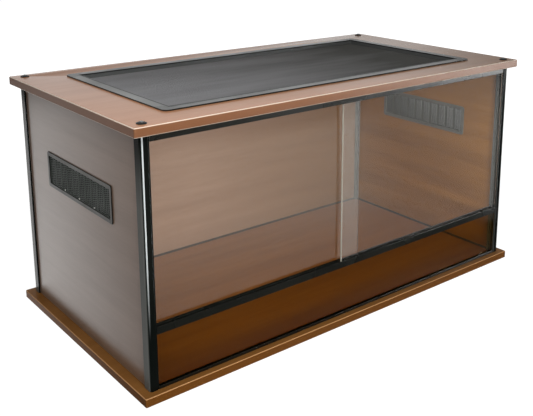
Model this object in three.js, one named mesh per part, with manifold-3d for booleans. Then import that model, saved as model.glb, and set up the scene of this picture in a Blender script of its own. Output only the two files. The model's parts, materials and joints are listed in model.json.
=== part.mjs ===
// A terrarium cabinet: wood-laminate boards above and below, four corner posts with panels in their slots,
// two glass doors that slide in a double track, a fixed pane under them, and a screen top that lifts out.
// Millimetres, +Z up. X runs along the front and Y from front to back.
// The origin is on the floor, at the middle of the base board.

import * as THREE from 'three';
import { mergeVertices } from 'three/addons/utils/BufferGeometryUtils.js';
import Module from 'manifold-3d';

const wasm = await Module();
wasm.setup();

// ---- Driving dimensions ----

// Clearance between two pieces that fit together
const fitGap = 0.3;

// How far a cutter runs past the faces that it cuts
const overrun = 1;

// Straight sides that stand for a round bolt, bore or washer
const roundSides = 16;
const washerSides = 20;

// Boards
const boardWidth = 1270;
const boardDepth = 686;
const boardThickness = 21.5;
const boardCornerRadius = 3;
const boardChamfer = 1.6;
const topFaceHeight = 632;

// Corner posts, with one panel slot each and, at the front, two grooves for the glass
const sideOverhang = 21;
const frontOverhang = 17;
const postWidth = 22.5;
const postDepth = 27;
const postCornerRadius = 8;
const frontRebateWidth = 4;
const frontRebateDepth = 1.5;
const glassGrooveDepth = 3;

// Wall panels
const panelThickness = 6;
const panelRecess = 5;
const panelSlotDepth = 6;

// Bolts through the boards into the posts
const boltInset = 11.5;
const boltDiameter = 6;
const boltLength = 44;
const boltHeadDiameter = 10;
const boltHeadHeight = 2.2;
const boltHeadCrown = 5;
const boltPoint = 1;
const boltSocketWidth = 4;
const boltSocketDepth = 1.3;
const washerDiameter = 23;
const washerThickness = 2.4;
const washerEdge = 1;
const counterboreDiameter = 15;
const counterboreDepth = 6;

// Tracks: a lip, a channel, a lip, a channel, a lip from front to back
const trackSetback = 0.5;
const trackLip = 2.2;
const trackChannel = 7.5;
const trackEase = 0.6;
const upperTrackHeight = 17.5;
const upperTrackWeb = 2.5;
const lowerTrackUnderside = 154.7;
const lowerTrackHeight = 17.5;
const lowerTrackWeb = 3.5;
const paneSlotDepth = 5;
const bottomRailHeight = 7;
const bottomRailWeb = 2;

// Glass
const glassThickness = 5;
const glassEase = 0.6;
const doorMeetingX = -13.5;
const doorOverlap = 65;
const doorUpperEngagement = 5.5;
const glassEndClearance = 0.6;

// Screen top: a flange on the board and a box section that drops through its opening
const screenEndMargin = 119;
const screenSideMargin = 85;
const screenCornerRadius = 14;
const flangeThickness = 3.2;
const railWidth = 28;
const flangeLap = 12;
const openingClearance = 1.5;
const frameDrop = 9;
const beadWidth = 2;
const beadHeight = 0.8;
const railTubeWall = 2;
const railTubeHeight = 5.2;
const cornerReachOuter = 46;
const cornerReachInner = 31;
const cornerLegLength = 24;
const splineGrooveInset = 17;
const splineGrooveWidth = 4;
const splineGrooveDepth = 4;
const meshThickness = 0.8;
const meshRimHeight = 3;
const meshColumns = 12;
const meshRows = 6;
const meshBar = 9;
const meshBorder = 5;

// Vents in the side panels
const ventLength = 352;
const ventHeight = 92;
const ventCentreHeight = 415;
const ventBorder = 10;
const ventCornerRadius = 5;
const ventFlangeThickness = 2.5;
const ventCollarWall = 2;
const ventLand = 2;
const ventRingCornerRadius = 9;
const grilleThickness = 2;
const grilleBands = 10;
const grilleColumns = 3;
const grilleRows = 8;
const grilleBar = 6.5;
const grilleMargin = 3.5;
const grilleWeb = 1.6;
const pegCount = 3;
const pegSpacing = 81;
const pegDiameter = 3.4;
const pegHeight = 1.2;
const pegInset = 2.6;

// Seal strips along the foot of the walls
const sealSize = 5;
const sealEdge = 1;

// ---- Sizes worked out from them ----

const bodyWidth = boardWidth - 2 * sideOverhang;
const bodyDepth = boardDepth - 2 * frontOverhang;
const bodyBottom = boardThickness;
const bodyTop = topFaceHeight - boardThickness;
const postHeight = bodyTop - bodyBottom - 2 * fitGap;
const innerHalfWidth = bodyWidth / 2 - postWidth;
const boltHalfX = bodyWidth / 2 - boltInset;
const boltHalfY = bodyDepth / 2 - boltInset;
const boltBore = boltDiameter + 2 * fitGap;
const trackDepth = 3 * trackLip + 2 * trackChannel;
const frontPlane = -bodyDepth / 2;
const trackFront = frontPlane + trackSetback;
const frontChannel = trackLip;
const rearChannel = 2 * trackLip + trackChannel;
const trackLength = 2 * innerHalfWidth - 2 * fitGap;
const lowerChannelFloor = lowerTrackUnderside + paneSlotDepth + lowerTrackWeb;
const upperTrackUnderside = bodyTop - upperTrackHeight;
const glassEnd = innerHalfWidth + glassGrooveDepth - glassEndClearance;
const screenWidth = boardWidth - 2 * screenEndMargin;
const screenDepth = boardDepth - 2 * screenSideMargin;

// ---- Shapes and solids ----

/** Points on an arc, with angles in degrees. */
function arc(x, y, radius, from, to, steps) {
  const points = [];
  for (let i = 0; i <= steps; i += 1) {
    const angle = THREE.MathUtils.degToRad(from + ((to - from) * i) / steps);
    points.push([x + radius * Math.cos(angle), y + radius * Math.sin(angle)]);
  }
  return points;
}

/** A rectangle about the origin, with its corners rounded where a radius is given. */
function rectangle(width, height, radius = 0, steps = 4) {
  const x = width / 2;
  const y = height / 2;
  if (radius === 0) {
    return [[-x, -y], [x, -y], [x, y], [-x, y]];
  }
  return [
    ...arc(x - radius, y - radius, radius, 0, 90, steps),
    ...arc(radius - x, y - radius, radius, 90, 180, steps),
    ...arc(radius - x, radius - y, radius, 180, 270, steps),
    ...arc(x - radius, radius - y, radius, 270, 360, steps),
  ];
}

function toShape(points, holes = []) {
  const shape = new THREE.Shape(points.map(([x, y]) => new THREE.Vector2(x, y)));
  for (const hole of holes) {
    shape.holes.push(new THREE.Path(hole.map(([x, y]) => new THREE.Vector2(x, y))));
  }
  return shape;
}

/** An outline pushed up along +Z by a height, from z = 0. */
function extrude(points, height, holes = []) {
  return new THREE.ExtrudeGeometry(toShape(points, holes), { depth: height, bevelEnabled: false });
}

/** The same with a chamfer on both rims, inside the outline and the height. */
function extrudeChamfered(points, height, chamfer) {
  const geometry = new THREE.ExtrudeGeometry(toShape(points), {
    depth: height - 2 * chamfer,
    bevelThickness: chamfer,
    bevelSize: chamfer,
    bevelOffset: -chamfer,
    bevelSegments: 1,
  });
  return geometry.translate(0, 0, chamfer);
}

/** Turns a profile drawn in depth and height, so that it runs along +X. */
function alongX(geometry) {
  return geometry.rotateX(Math.PI / 2).rotateZ(Math.PI / 2);
}

/** Turns a profile drawn in width and height, so that it runs along -Y. */
function alongMinusY(geometry) {
  return geometry.rotateX(Math.PI / 2);
}

/** A box between two opposite corners. */
function box(low, high) {
  const size = high.map((value, i) => value - low[i]);
  const centre = high.map((value, i) => (value + low[i]) / 2);
  return new THREE.BoxGeometry(...size).translate(...centre);
}

function toSolid(geometry) {
  const bare = geometry.clone();
  bare.deleteAttribute('normal');
  bare.deleteAttribute('uv');
  const merged = mergeVertices(bare);
  return new wasm.Manifold(new wasm.Mesh({
    numProp: 3,
    vertProperties: new Float32Array(merged.attributes.position.array),
    triVerts: new Uint32Array(merged.index.array),
  }));
}

function toGeometry(solid) {
  const mesh = solid.getMesh();
  const geometry = new THREE.BufferGeometry();
  geometry.setAttribute('position', new THREE.BufferAttribute(mesh.vertProperties, 3));
  geometry.setIndex(new THREE.BufferAttribute(mesh.triVerts, 1));
  const flat = geometry.toNonIndexed();
  flat.computeVertexNormals();
  return flat;
}

/** A geometry with others cut out of it. */
function cut(geometry, ...tools) {
  let solid = toSolid(geometry);
  for (const tool of tools) {
    solid = solid.subtract(toSolid(tool));
  }
  return toGeometry(solid);
}

/** Several overlapping geometries joined into one. */
function join(first, ...others) {
  let solid = toSolid(first);
  for (const other of others) {
    solid = solid.add(toSolid(other));
  }
  return toGeometry(solid);
}

/** The part of a geometry that lies inside another. */
function keepInside(geometry, region) {
  return toGeometry(toSolid(geometry).intersect(toSolid(region)));
}

/** A profile of radii and heights turned round the Z axis. */
function lathe(profile, sides) {
  const points = profile.map(([radius, height]) => new THREE.Vector2(radius, height));
  return new THREE.LatheGeometry(points, sides).rotateX(Math.PI / 2);
}

/** An upright round bar from one height to another. */
function bar(diameter, low, high, sides = roundSides) {
  return new THREE.CylinderGeometry(diameter / 2, diameter / 2, high - low, sides)
    .rotateX(Math.PI / 2)
    .translate(0, 0, (low + high) / 2);
}

// ---- Materials ----

function finish(color, roughness, metalness, opacity = 1) {
  return new THREE.MeshStandardMaterial({ color, roughness, metalness, opacity, transparent: opacity < 1 });
}

const boardLaminate = finish(0xb08468, 0.45, 0);
const panelLaminate = finish(0x8a735f, 0.5, 0);
const blackExtrusion = finish(0x24272a, 0.38, 0.6);
const greyExtrusion = finish(0x828487, 0.4, 0.7);
const greyPlastic = finish(0x85878a, 0.55, 0);
const blackPlastic = finish(0x1c1f20, 0.5, 0);
const wireMesh = finish(0x4b4d4e, 0.6, 0.4);
const clearGlass = finish(0xcfd6d2, 0.05, 0, 0.3);
const tintedPane = finish(0x6a4526, 0.08, 0, 0.55);
const blackSteel = finish(0x1b1b1c, 0.35, 0.8);
const rubber = finish(0x2a211b, 0.8, 0);

const cabinet = new THREE.Group();

/** Adds a named piece, standing at a place and turned about the vertical. */
function place(name, geometry, material, [x, y, z] = [0, 0, 0], turn = 0) {
  const mesh = new THREE.Mesh(geometry, material);
  mesh.name = name;
  mesh.position.set(x, y, z);
  mesh.rotation.z = turn;
  cabinet.add(mesh);
}

// The four corners by name, with the signs of their X and Y
const corners = [
  ['front_left', -1, -1],
  ['front_right', 1, -1],
  ['back_left', -1, 1],
  ['back_right', 1, 1],
];

// ---- Boards ----

function board() {
  const outline = rectangle(boardWidth, boardDepth, boardCornerRadius);
  return extrudeChamfered(outline, boardThickness, boardChamfer);
}

/** One upright cutter at each of the four bolts. */
function atBolts(diameter, low, high) {
  return corners.map(([, sideX, sideY]) => bar(diameter, low, high)
    .translate(sideX * boltHalfX, sideY * boltHalfY, 0));
}

function baseBoard() {
  return cut(
    board(),
    ...atBolts(boltBore, -overrun, boardThickness + overrun),
    ...atBolts(counterboreDiameter, -overrun, counterboreDepth),
  );
}

function topBoard() {
  const openingWidth = screenWidth - 2 * flangeLap + 2 * openingClearance;
  const openingDepth = screenDepth - 2 * flangeLap + 2 * openingClearance;
  const opening = extrude(rectangle(openingWidth, openingDepth), boardThickness + 2 * overrun);
  const bores = atBolts(boltBore, -overrun, boardThickness + overrun);
  return cut(board(), opening.translate(0, 0, -overrun), ...bores);
}

place('base_board', baseBoard(), boardLaminate);
place('top_board', topBoard(), boardLaminate, [0, 0, bodyTop]);

// ---- Corner posts ----

// Where the panel slots lie, from the outer face of a post inwards
const panelSlotNear = panelRecess - fitGap;
const panelSlotFar = panelRecess + panelThickness + fitGap;

/**
 * The run of a post's outline that front and back posts share: the side panel's slot, the outer side
 * and the rounded corner. The first number runs in from the outer side, the second from the front or back.
 */
function postSideRun() {
  return [
    [panelSlotFar, postDepth],
    [panelSlotFar, postDepth - panelSlotDepth],
    [panelSlotNear, postDepth - panelSlotDepth],
    [panelSlotNear, postDepth],
    [0, postDepth],
    ...arc(postCornerRadius, postCornerRadius, postCornerRadius, 180, 270, 8),
  ];
}

/** Front posts: a rebate on the face and two grooves in line with the tracks. */
function frontPostOutline() {
  const outline = [
    ...postSideRun(),
    [postWidth - frontRebateWidth, 0],
    [postWidth - frontRebateWidth, frontRebateDepth],
    [postWidth, frontRebateDepth],
  ];
  for (const channel of [frontChannel, rearChannel]) {
    const near = trackSetback + channel;
    const far = near + trackChannel;
    outline.push(
      [postWidth, near],
      [postWidth - glassGrooveDepth, near],
      [postWidth - glassGrooveDepth, far],
      [postWidth, far],
    );
  }
  outline.push([postWidth, postDepth]);
  return outline;
}

/** Back posts: a second slot, for the back panel. */
function backPostOutline() {
  return [
    ...postSideRun(),
    [postWidth, 0],
    [postWidth, panelSlotNear],
    [postWidth - panelSlotDepth, panelSlotNear],
    [postWidth - panelSlotDepth, panelSlotFar],
    [postWidth, panelSlotFar],
    [postWidth, postDepth],
  ];
}

for (const [corner, sideX, sideY] of corners) {
  const outline = sideY < 0 ? frontPostOutline() : backPostOutline();
  const mirrored = outline.map(([u, v]) => [-sideX * u, -sideY * v]);
  const lastAngle = 360 - 360 / roundSides;
  const bore = arc(-sideX * boltInset, -sideY * boltInset, boltBore / 2, 0, lastAngle, roundSides - 1);
  place(
    `post_${corner}`,
    extrude(mirrored, postHeight, [bore]),
    blackExtrusion,
    [sideX * bodyWidth / 2, sideY * bodyDepth / 2, bodyBottom + fitGap],
  );
}

// ---- Bolts ----

/** A cap screw along -Z, with its seat at z = 0 and a hexagonal socket in its head. */
function bolt() {
  const headRadius = boltHeadDiameter / 2;
  const crownRadius = boltHeadCrown / 2;
  const body = lathe([
    [0, -boltLength],
    [boltDiameter / 2 - boltPoint, -boltLength],
    [boltDiameter / 2, boltPoint - boltLength],
    [boltDiameter / 2, 0],
    [headRadius, 0],
    [headRadius, boltHeadHeight / 2],
    [(headRadius + crownRadius) / 2 + boltPoint / 2, boltHeadHeight - boltPoint / 2],
    [crownRadius, boltHeadHeight],
    [0, boltHeadHeight],
  ], roundSides);
  const socketDiameter = boltSocketWidth / Math.cos(Math.PI / 6);
  return cut(body, bar(socketDiameter, boltHeadHeight - boltSocketDepth, boltHeadHeight + overrun, 6));
}

/** A domed washer that stands on z = 0. */
function washer() {
  const outer = washerDiameter / 2;
  const inner = boltBore / 2;
  return lathe([
    [inner, 0],
    [outer, 0],
    [outer, washerThickness - washerEdge],
    [outer - washerEdge, washerThickness],
    [inner, washerThickness],
    [inner, 0],
  ], washerSides);
}

for (const [corner, sideX, sideY] of corners) {
  const x = sideX * boltHalfX;
  const y = sideY * boltHalfY;
  const washerSeat = topFaceHeight + fitGap;
  place(`top_washer_${corner}`, washer(), blackPlastic, [x, y, washerSeat]);
  place(`top_bolt_${corner}`, bolt(), blackSteel, [x, y, washerSeat + washerThickness + fitGap]);
  const lowBolt = bolt().rotateX(Math.PI);
  place(`base_bolt_${corner}`, lowBolt, blackSteel, [x, y, counterboreDepth - fitGap]);
}

// ---- Wall panels ----

const panelLow = bodyBottom + fitGap;
const panelHeight = postHeight;
const sidePanelLength = bodyDepth - 2 * (postDepth - panelSlotDepth) - 2 * fitGap;
const backPanelLength = bodyWidth - 2 * (postWidth - panelSlotDepth) - 2 * fitGap;
const ventOpeningLength = ventLength - 2 * ventBorder;
const ventOpeningHeight = ventHeight - 2 * ventBorder;
const grilleLength = ventOpeningLength + 2 * ventLand;
const grilleHeight = ventOpeningHeight + 2 * ventLand;
const collarLength = grilleLength + 2 * (fitGap + ventCollarWall);
const collarHeight = grilleHeight + 2 * (fitGap + ventCollarWall);

/** A side panel with its vent's cut-out, drawn in depth and height and centred on the vent's height. */
function sidePanel() {
  const low = panelLow - ventCentreHeight;
  const outline = [
    [-sidePanelLength / 2, low],
    [sidePanelLength / 2, low],
    [sidePanelLength / 2, low + panelHeight],
    [-sidePanelLength / 2, low + panelHeight],
  ];
  const opening = rectangle(collarLength + 2 * fitGap, collarHeight + 2 * fitGap);
  return alongX(extrude(outline, panelThickness, [opening]));
}

const backPanel = alongMinusY(extrude(rectangle(backPanelLength, panelHeight), panelThickness));
place('back_panel', backPanel, panelLaminate, [0, bodyDepth / 2 - panelRecess, panelLow + panelHeight / 2]);

// ---- Vents: an outer bezel with a collar through the panel, a perforated grille, and an inner ring ----

/** A frame with a rounded outline and a square opening, from one depth to another. */
function ventFrame(length, height, radius, openLength, openHeight, from, to) {
  const frame = extrude(rectangle(length, height, radius), to - from, [rectangle(openLength, openHeight)]);
  return alongX(frame).translate(from, 0, 0);
}

function ventBezel() {
  const flange = ventFrame(
    ventLength, ventHeight, ventCornerRadius, ventOpeningLength, ventOpeningHeight,
    -fitGap - ventFlangeThickness, -fitGap,
  );
  const collar = ventFrame(
    collarLength, collarHeight, 0, grilleLength + 2 * fitGap, grilleHeight + 2 * fitGap,
    -fitGap - ventFlangeThickness / 2, panelThickness - fitGap,
  );
  return join(flange, collar);
}

function ventRing() {
  const seat = panelThickness + fitGap;
  const flange = ventFrame(
    ventLength, ventHeight, ventRingCornerRadius, ventOpeningLength, ventOpeningHeight,
    seat, seat + ventFlangeThickness,
  );
  const collar = ventFrame(
    grilleLength, grilleHeight, 0, ventOpeningLength, ventOpeningHeight,
    grilleThickness + fitGap, seat + ventFlangeThickness / 2,
  );
  return join(flange, collar);
}

/** The diamond perforations in upright bands, with every other column half a pitch lower. */
function grilleHoles() {
  const bandPitch = ventOpeningLength / grilleBands;
  const columnPitch = (bandPitch - grilleBar) / grilleColumns;
  const rowPitch = (ventOpeningHeight - 2 * grilleMargin) / grilleRows;
  const halfWidth = (columnPitch - grilleWeb) / 2 + columnPitch / 4;
  const halfHeight = (rowPitch - grilleWeb) / 2;
  const holes = [];
  for (let band = 0; band < grilleBands; band += 1) {
    const bandStart = -ventOpeningLength / 2 + band * bandPitch + grilleBar / 2;
    for (let column = 0; column < grilleColumns; column += 1) {
      const y = bandStart + (column + 0.5) * columnPitch;
      const lowered = column % 2;
      for (let row = lowered; row < grilleRows; row += 1) {
        const z = ventOpeningHeight / 2 - grilleMargin - (row + 0.5 - lowered / 2) * rowPitch;
        holes.push([[y - halfWidth, z], [y, z - halfHeight], [y + halfWidth, z], [y, z + halfHeight]]);
      }
    }
  }
  return holes;
}

/** The grille's plate, with pegs on its outer face along its lower edge. */
function ventGrille() {
  const plate = alongX(extrude(rectangle(grilleLength, grilleHeight), grilleThickness, grilleHoles()));
  const pegs = [];
  for (let i = 0; i < pegCount; i += 1) {
    pegs.push(bar(pegDiameter, -grilleThickness / 2, pegHeight, 8)
      .rotateY(-Math.PI / 2)
      .translate(0, (i - (pegCount - 1) / 2) * pegSpacing, pegInset - ventOpeningHeight / 2));
  }
  return join(plate, ...pegs);
}

for (const [side, sideX] of [['left', -1], ['right', 1]]) {
  const outerFace = sideX * (bodyWidth / 2 - panelRecess);
  const turn = sideX > 0 ? Math.PI : 0;
  const seat = [outerFace, 0, ventCentreHeight];
  place(`side_panel_${side}`, sidePanel(), panelLaminate, seat, turn);
  place(`vent_bezel_${side}`, ventBezel(), blackPlastic, seat, turn);
  place(`vent_grille_${side}`, ventGrille(), blackPlastic, seat, turn);
  place(`vent_ring_${side}`, ventRing(), greyPlastic, seat, turn);
}

// ---- Tracks ----

/** The lower track's section: two channels open upwards, and a slot under the front one for the pane. */
function lowerTrackSection() {
  const channelFloor = paneSlotDepth + lowerTrackWeb;
  const top = lowerTrackHeight;
  return [
    [0, 0],
    [frontChannel, 0],
    [frontChannel, paneSlotDepth],
    [frontChannel + trackChannel, paneSlotDepth],
    [frontChannel + trackChannel, 0],
    [trackDepth, 0],
    [trackDepth, top],
    [rearChannel + trackChannel, top],
    [rearChannel + trackChannel, channelFloor],
    [rearChannel, channelFloor],
    [rearChannel, top],
    [frontChannel + trackChannel, top],
    [frontChannel + trackChannel, channelFloor],
    [frontChannel, channelFloor],
    [frontChannel, top],
    [trackEase, top],
    [0, top - trackEase],
  ];
}

/** The upper track's section: two deeper channels open downwards, so that a door can be lifted out. */
function upperTrackSection() {
  const top = upperTrackHeight - fitGap;
  const channelRoof = top - upperTrackWeb;
  return [
    [trackEase, 0],
    [frontChannel, 0],
    [frontChannel, channelRoof],
    [frontChannel + trackChannel, channelRoof],
    [frontChannel + trackChannel, 0],
    [rearChannel, 0],
    [rearChannel, channelRoof],
    [rearChannel + trackChannel, channelRoof],
    [rearChannel + trackChannel, 0],
    [trackDepth, 0],
    [trackDepth, top],
    [0, top],
    [0, trackEase],
  ];
}

/** The bottom rail's section: one channel, under the front one of the tracks. */
function bottomRailSection() {
  const depth = 2 * trackLip + trackChannel;
  return [
    [0, 0],
    [depth, 0],
    [depth, bottomRailHeight],
    [frontChannel + trackChannel, bottomRailHeight],
    [frontChannel + trackChannel, bottomRailWeb],
    [frontChannel, bottomRailWeb],
    [frontChannel, bottomRailHeight],
    [trackEase, bottomRailHeight],
    [0, bottomRailHeight - trackEase],
  ];
}

function track(name, section, underside) {
  const strip = alongX(extrude(section, trackLength)).translate(-trackLength / 2, 0, 0);
  place(name, strip, blackExtrusion, [0, trackFront, underside]);
}

track('upper_track', upperTrackSection(), upperTrackUnderside);
track('lower_track', lowerTrackSection(), lowerTrackUnderside);
track('bottom_rail', bottomRailSection(), bodyBottom + fitGap);

// ---- Glass ----

/** A sheet of glass in one of the channels, between two ends and two heights. */
function glass(name, material, channel, left, right, low, high) {
  const width = right - left;
  const height = high - low;
  const sheet = alongMinusY(extrudeChamfered(rectangle(width, height), glassThickness, glassEase));
  const rearFace = trackFront + channel + (trackChannel + glassThickness) / 2;
  place(name, sheet, material, [(left + right) / 2, rearFace, (low + high) / 2]);
}

const doorLow = lowerChannelFloor + fitGap;
const doorHigh = upperTrackUnderside + doorUpperEngagement;
const leftDoorRight = doorMeetingX + doorOverlap / 2;
const rightDoorLeft = doorMeetingX - doorOverlap / 2;
const paneLow = bodyBottom + fitGap + bottomRailWeb + fitGap;
const paneHigh = lowerTrackUnderside + paneSlotDepth - fitGap;

glass('left_door', clearGlass, rearChannel, -glassEnd, leftDoorRight, doorLow, doorHigh);
glass('right_door', clearGlass, frontChannel, rightDoorLeft, glassEnd, doorLow, doorHigh);
glass('front_pane', tintedPane, frontChannel, -glassEnd, glassEnd, paneLow, paneHigh);

// ---- Floor seals ----

/** A coved strip's section, with its back to the wall and its foot on the floor. */
function sealSection() {
  const reach = sealSize - sealEdge;
  return [
    [0, 0],
    [sealSize, 0],
    ...arc(sealSize, sealSize, reach, 270, 180, 4),
    [0, sealSize],
  ];
}

function seal(name, length, position, turn) {
  const strip = alongX(extrude(sealSection(), length)).translate(-length / 2, fitGap, fitGap);
  place(name, strip, rubber, position, turn);
}

const sideWallInner = bodyWidth / 2 - panelRecess - panelThickness;
const backWallInner = bodyDepth / 2 - panelRecess - panelThickness;
const sideSealLength = bodyDepth - 2 * postDepth - 2 * fitGap;
seal('floor_seal_back', trackLength, [0, backWallInner, bodyBottom], Math.PI);
seal('floor_seal_left', sideSealLength, [-sideWallInner, 0, bodyBottom], -Math.PI / 2);
seal('floor_seal_right', sideSealLength, [sideWallInner, 0, bodyBottom], Math.PI / 2);

// ---- Screen top ----

/** A flat ring between two insets from the screen's outer edge, from one height to another. */
function screenRing(outerInset, innerInset, low, high, radius = 0) {
  const outer = rectangle(screenWidth - 2 * outerInset, screenDepth - 2 * outerInset, radius, 6);
  const inner = rectangle(screenWidth - 2 * innerInset, screenDepth - 2 * innerInset);
  return extrude(outer, high - low, [inner]).translate(0, 0, low);
}

const flangeTop = fitGap + flangeThickness;
const tubeHigh = flangeTop - railTubeWall;
const tubeLow = tubeHigh - railTubeHeight;
const tubeNear = flangeLap + railTubeWall;
const tubeFar = railWidth - railTubeWall;

/** The whole frame as one ring, before it is divided into rails and corner pieces. */
function screenFrame() {
  const flange = screenRing(0, railWidth, fitGap, flangeTop, screenCornerRadius);
  const boxSection = screenRing(flangeLap, railWidth, -frameDrop, flangeTop);
  const bead = screenRing(railWidth - beadWidth, railWidth, fitGap, flangeTop + beadHeight);
  const grooveFar = splineGrooveInset + splineGrooveWidth;
  const grooveTop = splineGrooveDepth - frameDrop;
  const groove = screenRing(splineGrooveInset, grooveFar, -frameDrop - overrun, grooveTop);
  return cut(join(flange, boxSection, bead), groove);
}

/** The block of space that a corner piece takes, with slanting seams, larger by a margin. */
function cornerBlock(sideX, sideY, margin) {
  const outer = cornerReachOuter + margin;
  const inner = cornerReachInner + margin;
  const slope = (outer - inner) / railWidth;
  const past = -overrun;
  const beyond = outer + slope * overrun;
  const reach = [
    [past, past],
    [beyond, past],
    [inner, railWidth],
    [inner, inner],
    [railWidth, inner],
    [past, beyond],
  ];
  const outline = reach.map(([a, b]) => [sideX * (screenWidth / 2 - a), sideY * (screenDepth / 2 - b)]);
  return extrude(outline, 2 * frameDrop + 2 * flangeTop).translate(0, 0, -2 * frameDrop);
}

/** The two legs of a corner piece, which push into the tubes of its rails. */
function cornerLegs(sideX, sideY) {
  const near = tubeNear + fitGap;
  const far = tubeFar - fitGap;
  const end = cornerReachInner + cornerLegLength;
  const span = (x1, y1, x2, y2) => box(
    [Math.min(x1, x2), Math.min(y1, y2), tubeLow + fitGap],
    [Math.max(x1, x2), Math.max(y1, y2), tubeHigh - fitGap],
  );
  const x = (a) => sideX * (screenWidth / 2 - a);
  const y = (b) => sideY * (screenDepth / 2 - b);
  return [span(x(near), y(near), x(end), y(far)), span(x(near), y(near), x(far), y(end))];
}

const frame = screenFrame();
const screenSeat = [0, 0, topFaceHeight];

for (const [corner, sideX, sideY] of corners) {
  const piece = keepInside(frame, cornerBlock(sideX, sideY, 0));
  place(`screen_corner_${corner}`, join(piece, ...cornerLegs(sideX, sideY)), greyPlastic, screenSeat);
}

/** The four rails, each by the direction that it lies in from the middle. */
const rails = [
  ['front', 0, -1],
  ['back', 0, 1],
  ['left', -1, 0],
  ['right', 1, 0],
];

for (const [rail, sideX, sideY] of rails) {
  const runsAlongX = sideX === 0;
  const length = runsAlongX ? screenWidth : screenDepth;
  const edge = runsAlongX ? screenDepth / 2 : screenWidth / 2;
  const side = runsAlongX ? sideY : sideX;
  const strip = (near, far, low, high) => {
    const across = [side * (edge - near), side * (edge - far)].sort((a, b) => a - b);
    const along = [-length / 2, length / 2];
    const [xs, ys] = runsAlongX ? [along, across] : [across, along];
    return box([xs[0], ys[0], low], [xs[1], ys[1], high]);
  };
  const region = strip(-overrun, railWidth + overrun, -2 * frameDrop, 2 * flangeTop);
  const tube = strip(tubeNear, tubeFar, tubeLow, tubeHigh);
  const blocks = corners.map(([, cornerX, cornerY]) => cornerBlock(cornerX, cornerY, fitGap));
  place(`screen_rail_${rail}`, cut(keepInside(frame, region), tube, ...blocks), greyExtrusion, screenSeat);
}

const meshRimInset = splineGrooveInset + splineGrooveWidth - fitGap - meshThickness;
const meshTop = -frameDrop - fitGap;
const meshBottom = meshTop - meshThickness;

/** Cutters for the openings of the mesh, in a plain grid inside a border. */
function meshCutters(width, depth) {
  const pitchX = (width - 2 * meshBorder + meshBar) / meshColumns;
  const pitchY = (depth - 2 * meshBorder + meshBar) / meshRows;
  const opening = rectangle(pitchX - meshBar, pitchY - meshBar);
  const cutters = [];
  for (let column = 0; column < meshColumns; column += 1) {
    const x = (column + 0.5 - meshColumns / 2) * pitchX;
    for (let row = 0; row < meshRows; row += 1) {
      const y = (row + 0.5 - meshRows / 2) * pitchY;
      cutters.push(extrude(opening, meshThickness + 2 * overrun).translate(x, y, -overrun));
    }
  }
  return cutters;
}

/** The wire mesh as a pierced sheet whose rim turns up into the rails' groove. */
function screenMesh() {
  const width = screenWidth - 2 * meshRimInset;
  const depth = screenDepth - 2 * meshRimInset;
  const sheet = cut(extrude(rectangle(width, depth), meshThickness), ...meshCutters(width, depth));
  const rimFar = meshRimInset + meshThickness;
  const rim = screenRing(meshRimInset, rimFar, meshBottom, meshTop + meshRimHeight);
  return join(sheet.translate(0, 0, meshBottom), rim);
}

const spline = screenRing(
  splineGrooveInset + fitGap, meshRimInset - fitGap, meshTop, splineGrooveDepth - frameDrop - fitGap,
);
place('screen_mesh', screenMesh(), wireMesh, screenSeat);
place('screen_spline', spline, rubber, screenSeat);

export default cabinet;
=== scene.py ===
# %% [markdown]
# # A terrarium cabinet
#
# The cabinet is a box that an animal lives in. Two wood-laminate boards close it above and below, four
# black posts hold the wall panels, two glass doors slide past each other in front, and a screen top lets
# lamp light in. The solids are already built, so this lesson gives them their looks. It starts by
# loading them as a fixed frame: every later piece is placed by asking the frame where a solid is, never
# by guessing.

import json
import math

import bmesh
import bpy
from mathutils import Matrix, Vector


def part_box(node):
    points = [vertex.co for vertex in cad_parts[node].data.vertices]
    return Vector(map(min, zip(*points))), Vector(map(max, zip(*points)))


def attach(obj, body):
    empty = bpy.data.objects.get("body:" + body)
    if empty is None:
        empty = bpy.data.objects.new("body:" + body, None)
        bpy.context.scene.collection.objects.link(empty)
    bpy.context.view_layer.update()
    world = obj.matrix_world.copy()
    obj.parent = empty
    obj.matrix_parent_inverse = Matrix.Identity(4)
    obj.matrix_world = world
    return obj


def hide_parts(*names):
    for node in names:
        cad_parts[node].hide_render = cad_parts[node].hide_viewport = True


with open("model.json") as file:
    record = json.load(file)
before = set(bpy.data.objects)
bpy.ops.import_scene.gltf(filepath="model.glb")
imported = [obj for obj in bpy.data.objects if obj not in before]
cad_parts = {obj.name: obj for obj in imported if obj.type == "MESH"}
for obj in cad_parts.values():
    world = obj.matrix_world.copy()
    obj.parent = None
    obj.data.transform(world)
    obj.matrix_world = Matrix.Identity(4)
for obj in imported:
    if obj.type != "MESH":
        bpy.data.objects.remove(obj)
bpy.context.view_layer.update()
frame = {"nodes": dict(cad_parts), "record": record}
nodes = frame["nodes"]

# %% [markdown]
# The render settings that belong to a scene are few. Standard shows colours as they are written, so a
# brown that is typed in as a brown comes out as that brown. Shaders want colours as linear light, which
# is hard to read, so one helper makes every colour from the 0 to 255 numbers that paint programs show.

# %% Colour helpers
scene = bpy.context.scene
scene.view_settings.view_transform = "Standard"


def channel(value):
    """One 0 to 255 colour number as linear light."""
    share = value / 255
    return share / 12.92 if share <= 0.04045 else ((share + 0.055) / 1.055) ** 2.4


def rgb(red, green, blue):
    """A colour from three such numbers."""
    return (channel(red), channel(green), channel(blue), 1.0)


print("mid grey is", round(channel(128), 3), "in linear light")

# %% [markdown]
# The camera comes before anything else, because it decides which sides matter most. It was matched to
# the photograph: from the front left, above the top board, looking a little down. The lens is also
# shifted down, which keeps upright edges from leaning as much as a more tilted camera would make them.

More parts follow.
